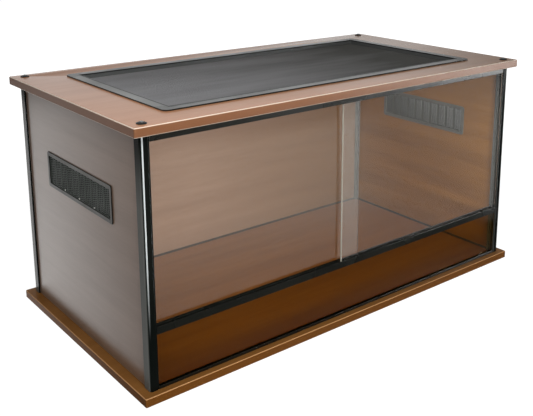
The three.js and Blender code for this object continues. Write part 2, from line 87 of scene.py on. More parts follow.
# %% Camera
PHOTO_WIDTH = 533
PHOTO_HEIGHT = 416
FOCAL_PIXELS = 812.5
OPTICAL_CENTRE = (305.5, 100.0)
CAMERA_PLACE = (-1.3784, -1.7730, 1.0549)
CAMERA_YAW = 0.6945
CAMERA_PITCH = -0.2261
CAMERA_ROLL = 0.0041
SENSOR_WIDTH = 36.0

camera_data = bpy.data.cameras.new("camera")
camera_data.sensor_width = SENSOR_WIDTH
camera_data.lens = FOCAL_PIXELS / PHOTO_WIDTH * SENSOR_WIDTH
camera_data.shift_x = (PHOTO_WIDTH / 2 - OPTICAL_CENTRE[0]) / PHOTO_WIDTH
camera_data.shift_y = (OPTICAL_CENTRE[1] - PHOTO_HEIGHT / 2) / PHOTO_WIDTH
camera_data.clip_end = 50
camera = bpy.data.objects.new("camera", camera_data)
camera_turn = (
    Matrix.Rotation(-CAMERA_YAW, 4, "Z")
    @ Matrix.Rotation(math.pi / 2 + CAMERA_PITCH, 4, "X")
    @ Matrix.Rotation(CAMERA_ROLL, 4, "Z")
)
camera.matrix_world = Matrix.Translation(CAMERA_PLACE) @ camera_turn
scene.collection.objects.link(camera)
scene.camera = camera
print("lens", round(camera_data.lens, 1), "mm")

# %% [markdown]
# A studio is a bright room with something dark in it. The room's light comes from all round, softly, and
# glossy black parts only look black where they mirror a darker stretch. So the world has three
# brightnesses: white for the camera, a low even level that lights the object, and for mirror images a
# wall that is white low down behind the object, greyer higher up and to the right, and dark in front. A
# Light Path node tells the rays apart.

# %% World light
WHITE = (1, 1, 1, 1)
ROOM_LEVEL = 0.176
MIRRORED_FRONT = 0.048
MIRRORED_BEHIND = 1.08
MIRRORED_ABOVE = 0.32
RIGHT_SHARE = 0.25


def add_node(tree, kind, **settings):
    """A node of a tree, with its plain settings."""
    node = tree.nodes.new(kind)
    for name, value in settings.items():
        setattr(node, name, value)
    return node


def feed(tree, socket, value):
    """Puts a number, a colour or another node's output into a socket."""
    if isinstance(value, bpy.types.NodeSocket):
        tree.links.new(value, socket)
    else:
        socket.default_value = value


def maths(tree, operation, *values, clamp=False):
    """The result of one sum."""
    node = add_node(tree, "ShaderNodeMath", operation=operation, use_clamp=clamp)
    for socket, value in zip(node.inputs, values):
        feed(tree, socket, value)
    return node.outputs[0]


def remap(tree, value, low, high, to_low=0.0, to_high=1.0, smooth=False):
    """A value between low and high as one between to_low and to_high."""
    node = add_node(tree, "ShaderNodeMapRange")
    if smooth:
        node.interpolation_type = "SMOOTHSTEP"
    numbers = {"Value": value, "From Min": low, "From Max": high, "To Min": to_low, "To Max": to_high}
    for name, number in numbers.items():
        feed(tree, node.inputs[name], number)
    return node.outputs["Result"]


def axes(tree, vector):
    """The three numbers of a vector."""
    node = add_node(tree, "ShaderNodeSeparateXYZ")
    feed(tree, node.inputs[0], vector)
    return node.outputs


world = bpy.data.worlds.new("studio")
scene.world = world
world.use_nodes = True
sky = world.node_tree
sky.nodes.clear()
toward_x, toward_y, toward_z = axes(sky, add_node(sky, "ShaderNodeTexCoord").outputs["Generated"])
rays = add_node(sky, "ShaderNodeLightPath").outputs

behind = remap(sky, toward_y, -0.1, 0.5, 0.0, 1.0, smooth=True)
less_above = remap(sky, toward_z, 0.12, 0.4, MIRRORED_BEHIND, MIRRORED_ABOVE, smooth=True)
less_right = remap(sky, toward_x, 0.68, 0.84, 1.0, RIGHT_SHARE, smooth=True)
wall = maths(sky, "MULTIPLY", behind, maths(sky, "MULTIPLY", less_above, less_right))
ceiling = remap(sky, toward_z, 0.3, 0.7, 0.0, MIRRORED_ABOVE, smooth=True)
mirrored = maths(sky, "MAXIMUM", maths(sky, "MAXIMUM", wall, ceiling), MIRRORED_FRONT)
seen = maths(sky, "MAXIMUM", rays["Is Camera Ray"], rays["Is Transmission Ray"])
hidden = maths(sky, "SUBTRACT", 1.0, seen)
glossy = maths(sky, "MULTIPLY", rays["Is Glossy Ray"], hidden)
plain = maths(sky, "SUBTRACT", hidden, glossy)
lit = maths(sky, "MULTIPLY_ADD", plain, ROOM_LEVEL, seen)
background = add_node(sky, "ShaderNodeBackground")
feed(sky, background.inputs["Color"], WHITE)
feed(sky, background.inputs["Strength"], maths(sky, "MULTIPLY_ADD", glossy, mirrored, lit))
sky_output = add_node(sky, "ShaderNodeOutputWorld")
sky.links.new(background.outputs[0], sky_output.inputs["Surface"])
print("world has", len(sky.nodes), "nodes")

# %% [markdown]
# Lamps add direction to the soft room light. One hangs close above the near left corner, so the light
# falls off across the top board. One stands low in front and shines in through the glass, because light
# from above never reaches the walls inside. The third fills the sides that the photograph doesn't show.
# All are kept out of mirror images, where a lamp would show as a square.

# %% Lamps
LAMPS = {
    "top": {"place": (-0.8, -0.85, 1.6), "aim": (-0.3, -0.1, 0.6), "size": 0.9, "power": 15.0},
    "front": {"place": (-0.85, -3.0, 1.15), "aim": (0.0, -0.3, 0.3), "size": 1.2, "power": 57.0},
    "fill": {"place": (2.4, 2.0, 0.7), "aim": (0.0, 0.0, 0.3), "size": 1.6, "power": 45.0},
}


def lamp(name, place, aim, size, power):
    """A square soft box that faces a point and isn't seen in mirror images."""
    data = bpy.data.lights.new(name, "AREA")
    data.size = size
    data.energy = power
    light = bpy.data.objects.new(name, data)
    light.location = place
    light.rotation_euler = (Vector(aim) - Vector(place)).to_track_quat("-Z", "Y").to_euler()
    light.visible_camera = False
    light.visible_transmission = False
    light.visible_glossy = False
    scene.collection.objects.link(light)


for lamp_name, settings in LAMPS.items():
    lamp(lamp_name, **settings)
print("lamps:", ", ".join(LAMPS))

# %% [markdown]
# The floor is a pale sheet that keeps a faint shadow. Ordinary white paint would never come out as pure
# white beside the object, so for the camera most of the floor is a white glow, and further out all of it
# is. The rest is paint that takes the shadow. Mirror images see a darker floor, which keeps the black
# rails black.

# %% Floor
FLOOR_SIZE = 16.0
FLOOR_DROP = 0.0005
FLOOR_PAINT = (0.6, 0.6, 0.6, 1)
GLOW_STRENGTH = 1.2
GLOW_SHARE = 0.82
ALL_GLOW_FROM = 2.4
PAINT_UP_TO = 1.1
FLOOR_MIRRORED = 0.05


def new_material(name):
    """An empty node material and its tree."""
    material = bpy.data.materials.new(name)
    material.use_nodes = True
    material.node_tree.nodes.clear()
    return material, material.node_tree


def flat_sheet(name, width, depth, material):
    """A level rectangle round the origin."""
    mesh = bpy.data.meshes.new(name)
    x, y = width / 2, depth / 2
    mesh.from_pydata([(-x, -y, 0), (x, -y, 0), (x, y, 0), (-x, y, 0)], [], [(0, 1, 2, 3)])
    mesh.materials.append(material)
    sheet = bpy.data.objects.new(name, mesh)
    scene.collection.objects.link(sheet)
    return sheet


floor_material, floor_tree = new_material("pale_floor")
floor_rays = add_node(floor_tree, "ShaderNodeLightPath").outputs
floor_place = add_node(floor_tree, "ShaderNodeTexCoord").outputs["Object"]
floor_distance = add_node(floor_tree, "ShaderNodeVectorMath", operation="LENGTH")
feed(floor_tree, floor_distance.inputs[0], floor_place)
glow_here = remap(
    floor_tree, floor_distance.outputs["Value"], PAINT_UP_TO, ALL_GLOW_FROM, GLOW_SHARE, 1.0, smooth=True
)
floor_seen = maths(floor_tree, "MAXIMUM", floor_rays["Is Camera Ray"], floor_rays["Is Transmission Ray"])
floor_paint = add_node(floor_tree, "ShaderNodeBsdfDiffuse")
feed(floor_tree, floor_paint.inputs["Color"], FLOOR_PAINT)
white_glow = add_node(floor_tree, "ShaderNodeEmission")
feed(floor_tree, white_glow.inputs["Strength"], GLOW_STRENGTH)
painted = add_node(floor_tree, "ShaderNodeMixShader")
feed(floor_tree, painted.inputs[0], maths(floor_tree, "MULTIPLY", floor_seen, glow_here))
floor_tree.links.new(floor_paint.outputs[0], painted.inputs[1])
floor_tree.links.new(white_glow.outputs[0], painted.inputs[2])
dim_glow = add_node(floor_tree, "ShaderNodeEmission")
feed(floor_tree, dim_glow.inputs["Strength"], FLOOR_MIRRORED)
mirrored_floor = add_node(floor_tree, "ShaderNodeMixShader")
not_seen = maths(floor_tree, "SUBTRACT", 1.0, floor_seen)
only_mirrored = maths(floor_tree, "MULTIPLY", floor_rays["Is Glossy Ray"], not_seen)
feed(floor_tree, mirrored_floor.inputs[0], only_mirrored)
floor_tree.links.new(painted.outputs[0], mirrored_floor.inputs[1])
floor_tree.links.new(dim_glow.outputs[0], mirrored_floor.inputs[2])
floor_output = add_node(floor_tree, "ShaderNodeOutputMaterial")
floor_tree.links.new(mirrored_floor.outputs[0], floor_output.inputs["Surface"])
floor = flat_sheet("floor", FLOOR_SIZE, FLOOR_SIZE, floor_material)
floor.location.z = -FLOOR_DROP
print("floor", FLOOR_SIZE, "m")

# %% [markdown]
# Glass and lacquer only look like themselves when they mirror something. The camera looks down, so the
# glass mirrors the floor in front and the side wall mirrors the floor to its left. Photographers lay
# white cards there. One more stands upright far to the right and gives the black rails' right ends their
# sheen. Each card fades out at its edges, and only mirror images see it. An area lamp would also light
# the walls behind the glass, so the cards are glowing sheets that are left out when light is gathered.

# %% Reflector cards
CARDS = {
    "front_card": {
        "middle": (0.344, -1.36, 0.001), "size": (1.94, 1.48), "skew": 0.9, "fade": (0.5, 0.4),
        "strength": 1.1, "left_share": 0.6, "colour": (1.0, 0.92, 0.8, 1.0),
    },
    "track_card": {
        "middle": (1.15, -0.56, 0.001), "size": (0.8, 0.1), "fade": (0.3, 0.03), "strength": 1.6,
    },
    "left_card": {
        "middle": (-0.65, 1.25, 0.001), "size": (1.7, 3.5), "skew": 0.435, "fade": (0.55, 0.35),
        "strength": 1.75,
    },
    "sheen_card": {
        "middle": (2.35, -1.95, 0.52), "size": (1.3, 0.6), "upright_turn": 0.87, "fade": (0.3, 0.1),
        "strength": 30.0,
    },
}


def card(name, middle, size, fade, strength, skew=0.0, left_share=1.0, upright_turn=None, colour=WHITE):
    """A glowing sheet, slanted or dimmer at its left end if need be, that only mirror images see."""
    material, tree = new_material(name)
    along_x, along_y, _ = axes(tree, add_node(tree, "ShaderNodeTexCoord").outputs["Object"])
    slanted_x = maths(tree, "MULTIPLY_ADD", along_y, skew, along_x)
    shape = remap(tree, slanted_x, -size[0] / 2, size[0] / 2, strength * left_share, strength)
    for along, length, soft in ((slanted_x, size[0], fade[0]), (along_y, size[1], fade[1])):
        from_middle = maths(tree, "ABSOLUTE", along)
        edge_fade = remap(tree, from_middle, length / 2 - soft, length / 2, 1.0, 0.0, smooth=True)
        shape = maths(tree, "MULTIPLY", edge_fade, shape)
    light = add_node(tree, "ShaderNodeEmission")
    feed(tree, light.inputs["Strength"], shape)
    feed(tree, light.inputs["Color"], colour)
    clear = add_node(tree, "ShaderNodeBsdfTransparent")
    both = add_node(tree, "ShaderNodeAddShader")
    tree.links.new(light.outputs[0], both.inputs[0])
    tree.links.new(clear.outputs[0], both.inputs[1])
    output = add_node(tree, "ShaderNodeOutputMaterial")
    tree.links.new(both.outputs[0], output.inputs["Surface"])
    sheet = flat_sheet(name, size[0] + skew * size[1], size[1], material)
    sheet.location = middle
    if upright_turn is not None:
        sheet.rotation_euler = (math.pi / 2, 0.0, upright_turn)
    material.cycles.emission_sampling = "NONE"
    sheet.visible_camera = False
    sheet.visible_diffuse = False
    sheet.visible_transmission = False
    sheet.visible_shadow = False


for card_name, settings in CARDS.items():
    card(card_name, **settings)
print("cards:", ", ".join(CARDS))

# %% [markdown]
# Wood laminate is a printed picture of wood under a clear skin. Two things make it read as wood: broad
# streaks that are lighter and darker, and fine fibres that run one way. A wave texture would draw them
# as even stripes, so one node group makes both from noise that is stretched along the grain. Each board
# gives it its own colours.

# %% Shader group: wood grain


def new_group(name, inputs, outputs):
    """A shader node group with its sockets, and the nodes at its two ends."""
    tree = bpy.data.node_groups.new(name, "ShaderNodeTree")
    for direction, sockets in (("INPUT", inputs), ("OUTPUT", outputs)):
        for socket_name, kind in sockets:
            tree.interface.new_socket(name=socket_name, in_out=direction, socket_type=kind)
    start = add_node(tree, "NodeGroupInput").outputs
    end = add_node(tree, "NodeGroupOutput").inputs
    return tree, start, end


def noise(tree, vector, scale, detail=4.0, roughness=0.55, distortion=0.0):
    """Soft random values between 0 and 1 that vary over a vector."""
    node = add_node(tree, "ShaderNodeTexNoise")
    settings = {"Scale": scale, "Detail": detail, "Roughness": roughness, "Distortion": distortion}
    feed(tree, node.inputs["Vector"], vector)
    for name, value in settings.items():
        feed(tree, node.inputs[name], value)
    return node.outputs["Fac"]


def blend_colours(tree, share, first, second, mode="MIX"):
    """The first colour, with its share of the second mixed in or multiplied over it."""
    node = add_node(tree, "ShaderNodeMix", data_type="RGBA", blend_type=mode)
    for socket, value in ((node.inputs[0], share), (node.inputs[6], first), (node.inputs[7], second)):
        feed(tree, socket, value)
    return node.outputs[2]


FLOAT = "NodeSocketFloat"
COLOUR = "NodeSocketColor"
VECTOR = "NodeSocketVector"

grain, grain_in, grain_out = new_group(
    "wood_grain",
    [("Vector", VECTOR), ("Light", COLOUR), ("Dark", COLOUR), ("Streaks", FLOAT), ("Fibres", FLOAT)],
    [("Color", COLOUR), ("Fibre Height", FLOAT)],
)
broad = noise(grain, grain_in["Vector"], 1.0, detail=3.0, roughness=0.5, distortion=0.4)
fibres = noise(grain, grain_in["Vector"], 7.0, detail=4.0, roughness=0.6)
wide = remap(grain, broad, 0.3, 0.7)
fine = remap(grain, fibres, 0.3, 0.7)
streaked = maths(grain, "MULTIPLY", wide, grain_in["Streaks"])
fibred = maths(grain, "MULTIPLY", fine, grain_in["Fibres"])
share_dark = maths(grain, "ADD", streaked, fibred, clamp=True)
feed(grain, grain_out["Color"], blend_colours(grain, share_dark, grain_in["Light"], grain_in["Dark"]))
feed(grain, grain_out["Fibre Height"], fine)
print("wood_grain has", len(grain.nodes), "nodes")

# %% [markdown]
# Edges catch light, and hands rub them, so the colour on edges is partly wear and partly painted light:
# a painted highlight on most parts and painted shade on the vent's bezel. A Bevel node looks a short way
# round each point and leans its normal over near an edge, so the angle between that normal and the face's
# own is a mask of the edges. Noise breaks the mask up so that the marks aren't even. A second group puts
# soft clouds of handling haze on a surface.

# %% Shader groups: edge wear and painted light, and handling haze
edge, edge_in, edge_out = new_group(
    "edge_wear_and_light", [("Width", FLOAT), ("Amount", FLOAT), ("Patches", FLOAT)], [("Mask", FLOAT)]
)
rounded = add_node(edge, "ShaderNodeBevel", samples=6)
feed(edge, rounded.inputs["Radius"], edge_in["Width"])
own_normal = add_node(edge, "ShaderNodeNewGeometry").outputs["Normal"]
agreement = add_node(edge, "ShaderNodeVectorMath", operation="DOT_PRODUCT")
feed(edge, agreement.inputs[0], rounded.outputs["Normal"])
feed(edge, agreement.inputs[1], own_normal)
near_edge = remap(edge, agreement.outputs["Value"], 0.999, 0.86)
place_on_object = add_node(edge, "ShaderNodeTexCoord").outputs["Object"]
patches = remap(edge, noise(edge, place_on_object, edge_in["Patches"], detail=3.0), 0.35, 0.65)
# This mask carries wear and painted light: a painted highlight on most edges, painted shade on the bezel's.
wear_and_light = maths(edge, "MULTIPLY", near_edge, maths(edge, "MULTIPLY_ADD", patches, 0.6, 0.4))
feed(edge, edge_out["Mask"], maths(edge, "MULTIPLY", wear_and_light, edge_in["Amount"], clamp=True))

haze, haze_in, haze_out = new_group(
    "handling_haze", [("Scale", FLOAT), ("Amount", FLOAT)], [("Mask", FLOAT)]
)
haze_place = add_node(haze, "ShaderNodeTexCoord").outputs["Object"]
clouds = noise(haze, haze_place, haze_in["Scale"], detail=3.0, roughness=0.5)
hazy = maths(haze, "MULTIPLY", remap(haze, clouds, 0.35, 0.75), haze_in["Amount"], clamp=True)
feed(haze, haze_out["Mask"], hazy)
print("edge_wear_and_light and handling_haze are ready")

# %% [markdown]
# Some colours belong to the faces that look one way, so three more groups are masks made from a face's
# normal. The boards have a slanted rim that gets a pale painted highlight: its faces are neither level
# nor upright. An edge band, partly painted shade, covers the upright faces of a board, so the next group
# tells which faces look along an axis. The last one finds the crest of an upright rounded corner, where a
# painted highlight runs down as a line of light. A photograph shows such a line as bright near lamp height
# and lost near the floor, so it fades.

# %% Shader groups: slanted rims, facings and crests
rim, rim_in, rim_out = new_group("slanted_rim", [("Amount", FLOAT)], [("Mask", FLOAT)])
_, _, upward = axes(rim, add_node(rim, "ShaderNodeNewGeometry").outputs["True Normal"])
upward_squared = maths(rim, "MULTIPLY", upward, upward)
slanted = maths(rim, "MULTIPLY", upward_squared, maths(rim, "SUBTRACT", 1.0, upward_squared))
# The rim mask places a pale painted highlight.
feed(rim, rim_out["Mask"], maths(rim, "MULTIPLY", remap(rim, slanted, 0.1, 0.22), rim_in["Amount"]))

facing, facing_in, facing_out = new_group("facing_axis", [("Axis", VECTOR)], [("Mask", FLOAT)])
along_axis = add_node(facing, "ShaderNodeVectorMath", operation="DOT_PRODUCT")
feed(facing, along_axis.inputs[0], add_node(facing, "ShaderNodeNewGeometry").outputs["True Normal"])
feed(facing, along_axis.inputs[1], facing_in["Axis"])
either_way = maths(facing, "ABSOLUTE", along_axis.outputs["Value"])
feed(facing, facing_out["Mask"], remap(facing, either_way, 0.75, 0.95))

CREST_NORMAL = (0.36, 0.933)
crest_line, crest_in, crest_out = new_group(
    "upright_crest", [("Fades From", FLOAT), ("Gone By", FLOAT)], [("Mask", FLOAT)]
)
normal_x, normal_y, _ = axes(crest_line, add_node(crest_line, "ShaderNodeNewGeometry").outputs["Normal"])
_, _, crest_height = axes(crest_line, add_node(crest_line, "ShaderNodeTexCoord").outputs["Object"])
sideways = maths(crest_line, "MULTIPLY", maths(crest_line, "ABSOLUTE", normal_x), CREST_NORMAL[0])
forwards = maths(crest_line, "MULTIPLY", maths(crest_line, "ABSOLUTE", normal_y), CREST_NORMAL[1])
# The crest mask places a painted highlight that fades toward the floor.
on_crest = remap(crest_line, maths(crest_line, "ADD", sideways, forwards), 0.986, 0.994)
high_up = remap(crest_line, crest_height, crest_in["Gone By"], crest_in["Fades From"], smooth=True)
feed(crest_line, crest_out["Mask"], maths(crest_line, "MULTIPLY", on_crest, high_up))
print("slanted_rim, facing_axis and upright_crest are ready")

# %% [markdown]
# A material is then short: a Principled shader, the groups that change over the surface, and the plain
# numbers on the shader's own sockets. Four helpers write the lines that every material shares.

# %% Material helpers


def principled(tree, **numbers):
    """A Principled shader joined to the output, with plain numbers on its sockets."""
    shader = add_node(tree, "ShaderNodeBsdfPrincipled")
    for name, value in numbers.items():
        shader.inputs[name.replace("_", " ")].default_value = value
    output = add_node(tree, "ShaderNodeOutputMaterial")
    tree.links.new(shader.outputs[0], output.inputs["Surface"])
    return shader, output


def use_group(tree, group, **values):
    """A group placed in a material, with its own values."""
    node = add_node(tree, "ShaderNodeGroup", node_tree=group)
    for name, value in values.items():
        feed(tree, node.inputs[name.replace("_", " ")], value)
    return node.outputs


def stretched(tree, scale):
    """Object coordinates, scaled differently each way so that noise runs along the grain."""
    mapping = add_node(tree, "ShaderNodeMapping")
    feed(tree, mapping.inputs["Scale"], scale)
    feed(tree, mapping.inputs["Vector"], add_node(tree, "ShaderNodeTexCoord").outputs["Object"])
    return mapping.outputs["Vector"]


def bump(tree, height, strength, distance):
    """Normals that lean as if the surface had this height."""
    node = add_node(tree, "ShaderNodeBump")
    for name, value in (("Height", height), ("Strength", strength), ("Distance", distance)):
        feed(tree, node.inputs[name], value)
    return node.outputs["Normal"]


print("material helpers are ready")

# %% [markdown]
# Five laminates cover the boards and walls. Their print is the same, but every sheet is lit and handled
# in its own way, so one function takes the colours and how glossy each sheet is, and each sheet's colours
# hold painted light and shade. The boards have an edge band whose colour is partly painted shade, and a
# rim with a pale painted highlight. Toward the right the back wall and the top have painted shade, the
# right wall has a grey painted sheen outside, and the base has painted light inside the walls, where it
# is seen through tinted glass and lies in shade.

# %% Wood laminates
PRINT_SCALE_ALONG = 1.6
PRINT_SCALE_ACROSS = 26.0
ALONG_X = (PRINT_SCALE_ALONG, PRINT_SCALE_ACROSS, PRINT_SCALE_ACROSS)
ALONG_Y = (PRINT_SCALE_ACROSS, PRINT_SCALE_ALONG, PRINT_SCALE_ACROSS)
BAND_AND_SHADE_SHARE = 0.8
STRIP_ROUGHER = 0.2
INNER_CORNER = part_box("side_panel_right")[0][0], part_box("back_panel")[0][1]


def inside_walls(tree):
    """A mask of what lies between the walls."""
    along_x, along_y, _ = axes(tree, add_node(tree, "ShaderNodeTexCoord").outputs["Object"])
    inside = [
        maths(tree, "LESS_THAN", maths(tree, "ABSOLUTE", along), limit)
        for along, limit in zip((along_x, along_y), INNER_CORNER)
    ]
    return maths(tree, "MULTIPLY", *inside)


def toned(tree, mask, colour, tone):
    """A colour that is multiplied by a tone where the mask is 1."""
    return blend_colours(tree, mask, colour, tone, mode="MULTIPLY")


def laminate(
    name, light, dark, scale, rough, band_and_shade=None, rim_highlight=None, streaks=0.45, fibres=0.25, ior=1.5,
    right_painted_shade=None, outer_painted_sheen=None, inner_painted_light=None,
):
    """Wood laminate; board edges get a band colour that is partly painted shade, and rims a painted
    highlight.
    """
    material, tree = new_material(name)
    shader, _ = principled(tree, IOR=ior)
    print_place = stretched(tree, scale)
    wood = use_group(tree, grain, Vector=print_place, Light=light, Dark=dark, Streaks=streaks, Fibres=fibres)
    colour = wood["Color"]
    # Painted shade that grows toward the right.
    if right_painted_shade:
        along_x, _, _ = axes(tree, add_node(tree, "ShaderNodeTexCoord").outputs["Object"])
        colour = toned(tree, remap(tree, along_x, -0.1, 0.5), colour, right_painted_shade)
    # A grey painted sheen on the faces that look toward +X.
    if outer_painted_sheen:
        toward_right, _, _ = axes(tree, add_node(tree, "ShaderNodeNewGeometry").outputs["True Normal"])
        colour = toned(tree, remap(tree, toward_right, 0.5, 0.9), colour, outer_painted_sheen)
    # Painted light inside the walls.
    if inner_painted_light:
        colour = toned(tree, inside_walls(tree), colour, inner_painted_light)
    handled = use_group(tree, haze, Scale=3.0, Amount=0.6)["Mask"]
    roughness = remap(tree, handled, 0.0, 1.0, *rough)
    # Upright faces get the edge band colour, which is partly painted shade.
    if band_and_shade:
        rubbed_and_lit = use_group(tree, edge, Width=0.001, Amount=0.4, Patches=14.0)["Mask"]
        level = use_group(tree, facing, Axis=(0, 0, 1))["Mask"]
        banded_and_shaded = blend_colours(tree, BAND_AND_SHADE_SHARE, colour, band_and_shade)
        colour = blend_colours(tree, level, banded_and_shaded, colour)
        # The rim gets a pale painted highlight, and so do the edges, where it is partly wear.
        pale = maths(tree, "MAXIMUM", rubbed_and_lit, use_group(tree, rim, Amount=0.7)["Mask"])
        colour = blend_colours(tree, pale, colour, rim_highlight)
        upright = maths(tree, "SUBTRACT", 1.0, level)
        roughness = maths(tree, "MULTIPLY_ADD", upright, STRIP_ROUGHER, roughness)
    feed(tree, shader.inputs["Base Color"], colour)
    feed(tree, shader.inputs["Roughness"], roughness)
    feed(tree, shader.inputs["Normal"], bump(tree, wood["Fibre Height"], 0.05, 0.0001))
    return material


# Each sheet's colours hold painted light and shade.
top_laminate = laminate(
    "top_laminate", rgb(176, 126, 92), rgb(150, 101, 68), ALONG_X, rough=(0.22, 0.32),
    band_and_shade=rgb(98, 58, 30), rim_highlight=rgb(236, 220, 202), right_painted_shade=(0.8, 0.87, 0.84, 1.0),
)
base_laminate = laminate(
    "base_laminate", rgb(128, 86, 42), rgb(101, 63, 26), ALONG_X, rough=(0.34, 0.4), ior=1.22,
    band_and_shade=rgb(98, 56, 10), rim_highlight=rgb(196, 150, 104), inner_painted_light=(2.0, 1.85, 1.5, 1.0),
)
back_laminate = laminate(
    "back_laminate", rgb(184, 150, 128), rgb(156, 120, 98), ALONG_X, rough=(0.4, 0.5),
    right_painted_shade=(0.6, 0.48, 0.27, 1.0),
)
left_laminate = laminate(
    "left_laminate", rgb(138, 114, 98), rgb(112, 90, 74), ALONG_Y, rough=(0.27, 0.33), ior=1.6
)
right_laminate = laminate(
    "right_laminate", rgb(178, 122, 46), rgb(140, 90, 28), ALONG_Y, rough=(0.4, 0.5), streaks=0.7, ior=1.4,
    outer_painted_sheen=(0.62, 0.86, 4.2, 1.0),
)
print("laminates: top, base, back, left, right")

# %% [markdown]
# The posts and tracks are extrusions with a black coat. A coat mirrors little from straight ahead and a
# lot at a slant, so the rails are black near the camera and shine far from it. The posts' side faces have
# a grey painted sheen low down, and a painted highlight runs down the crest of their rounded corners. The
# screen's frame is bare grey metal with painted shade on its upright faces, and inside it only the lip
# under its flange keeps that painted shade. Extruded metal also has faint lines along its length, which a
# stretched noise draws as a bump.

# %% Metals
LIP_HEIGHT = 0.004
LIP_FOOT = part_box("screen_rail_back")[1][2] - LIP_HEIGHT
LIP_BLEND = 0.001
SIDE_BLACK_ABOVE = 0.62
SIDE_GREY_BELOW = 0.42
CREST_FADES_FROM = 0.38
CREST_GONE_BY = 0.14


def inner_wall(tree):
    """A mask of the faces that look toward the middle of the object, below the lip of the screen's frame."""
    along_x, along_y, height = axes(tree, add_node(tree, "ShaderNodeTexCoord").outputs["Object"])
    toward_x, toward_y, _ = axes(tree, add_node(tree, "ShaderNodeNewGeometry").outputs["True Normal"])
    outward = maths(
        tree, "ADD", maths(tree, "MULTIPLY", along_x, toward_x), maths(tree, "MULTIPLY", along_y, toward_y)
    )
    below_lip = remap(tree, height, LIP_FOOT + LIP_BLEND, LIP_FOOT)
    return maths(tree, "MULTIPLY", remap(tree, outward, -0.02, -0.05), below_lip)


def extrusion(
    name, colour, wear_and_light_colour, along, rough, metallic, ior=1.5, upright_shade_colour=None, inner_colour=None,
    low_side_sheen=None, crest=None, lines_height=0.03,
):
    """Metal with fine lines; painted shade, sheen and highlight can go on some faces and on its crests."""
    material, tree = new_material(name)
    shader, _ = principled(tree, Metallic=metallic, IOR=ior)
    lines = noise(tree, stretched(tree, along), 1.0, detail=3.0)
    wear_and_light = use_group(tree, edge, Width=0.0008, Amount=0.5, Patches=30.0)["Mask"]
    handled = use_group(tree, haze, Scale=6.0, Amount=1.0)["Mask"]
    # Painted shade on the upright faces.
    if upright_shade_colour:
        colour = blend_colours(tree, use_group(tree, facing, Axis=(0, 0, 1))["Mask"], upright_shade_colour, colour)
        wear_and_light = maths(tree, "MULTIPLY", wear_and_light, 0.5)
    # Inside the frame the painted shade gives way to the wall's grey below the lip.
    if inner_colour:
        colour = blend_colours(tree, inner_wall(tree), colour, inner_colour)
    # A grey painted sheen low on the side faces.
    if low_side_sheen:
        _, _, height = axes(tree, add_node(tree, "ShaderNodeTexCoord").outputs["Object"])
        low_down = remap(tree, height, SIDE_BLACK_ABOVE, SIDE_GREY_BELOW, smooth=True)
        on_side = use_group(tree, facing, Axis=(1, 0, 0))["Mask"]
        colour = blend_colours(tree, maths(tree, "MULTIPLY", on_side, low_down), colour, low_side_sheen)
    # A painted highlight along the crest of a rounded corner.
    if crest:
        on_crest = use_group(tree, crest_line, Fades_From=CREST_FADES_FROM, Gone_By=CREST_GONE_BY)["Mask"]
        colour = blend_colours(tree, on_crest, colour, crest)
    feed(tree, shader.inputs["Base Color"], blend_colours(tree, wear_and_light, colour, wear_and_light_colour))
    feed(tree, shader.inputs["Roughness"], remap(tree, handled, 0.0, 1.0, rough, rough + 0.12))
    feed(tree, shader.inputs["Normal"], bump(tree, lines, lines_height, 0.0002))
    return material


# The post's crest colour is a painted highlight, and its low side colour a painted sheen.
post_black = extrusion(
    "post_black", rgb(12, 15, 13), rgb(50, 53, 50), (400, 400, 2), 0.16, 0.0, ior=1.16,
    low_side_sheen=rgb(100, 101, 98), crest=rgb(204, 210, 210),
)
track_black = extrusion(
    "track_black", rgb(16, 18, 15), rgb(60, 63, 60), (2, 400, 400), 0.24, 0.0, ior=1.45, lines_height=0.0
)
rail_grey = extrusion(
    "rail_grey", rgb(120, 121, 120), rgb(180, 181, 180), (60, 60, 400), 0.3, 0.5,
    upright_shade_colour=rgb(26, 27, 27), inner_colour=rgb(92, 94, 93),
)
key_grey = extrusion(
    "key_grey", rgb(112, 113, 112), rgb(160, 161, 160), (500, 500, 500), 0.36, 0.4,
    upright_shade_colour=rgb(26, 27, 27), inner_colour=rgb(92, 94, 93),
)
screw_black = extrusion("screw_black", rgb(120, 122, 122), rgb(170, 172, 172), (300, 300, 300), 0.35, 0.3)
print("metals: post, track, rail, key, screw")

# %% [markdown]
# The vents, washers, seals and wires are dull: moulded plastic, rubber and a woven cloth of coated wire.
# Plastic has a fine speckle, and its edges get a colour that is partly wear and partly painted light. The
# vent's bezel and grille have painted light on their front faces and painted shade on the rest. The wires
# are thinner than a pixel, so what the eye takes for their colour is how much light the cloth throws back,
# and that falls off away from the lamp in faint streaks, which is painted into the wire's colour.

# %% Plastic, rubber and wire


def woven(name, near_colour, far_colour):
    """Dull wire, paler near the lamp at the screen's left end than at the right: painted light, in streaks.
    """
    material, tree = new_material(name)
    shader, _ = principled(tree, Roughness=0.6, IOR=1.04)
    along_x, _, _ = axes(tree, add_node(tree, "ShaderNodeTexCoord").outputs["Object"])
    # Painted light: the colour darkens away from the lamp.
    further = remap(tree, along_x, -0.5, 0.42)
    streaks = noise(tree, stretched(tree, (2.5, 16.0, 1.0)), 1.0, detail=3.0)
    share = maths(tree, "ADD", further, remap(tree, streaks, 0.3, 0.7, -0.12, 0.12), clamp=True)
    feed(tree, shader.inputs["Base Color"], blend_colours(tree, share, near_colour, far_colour))
    return material


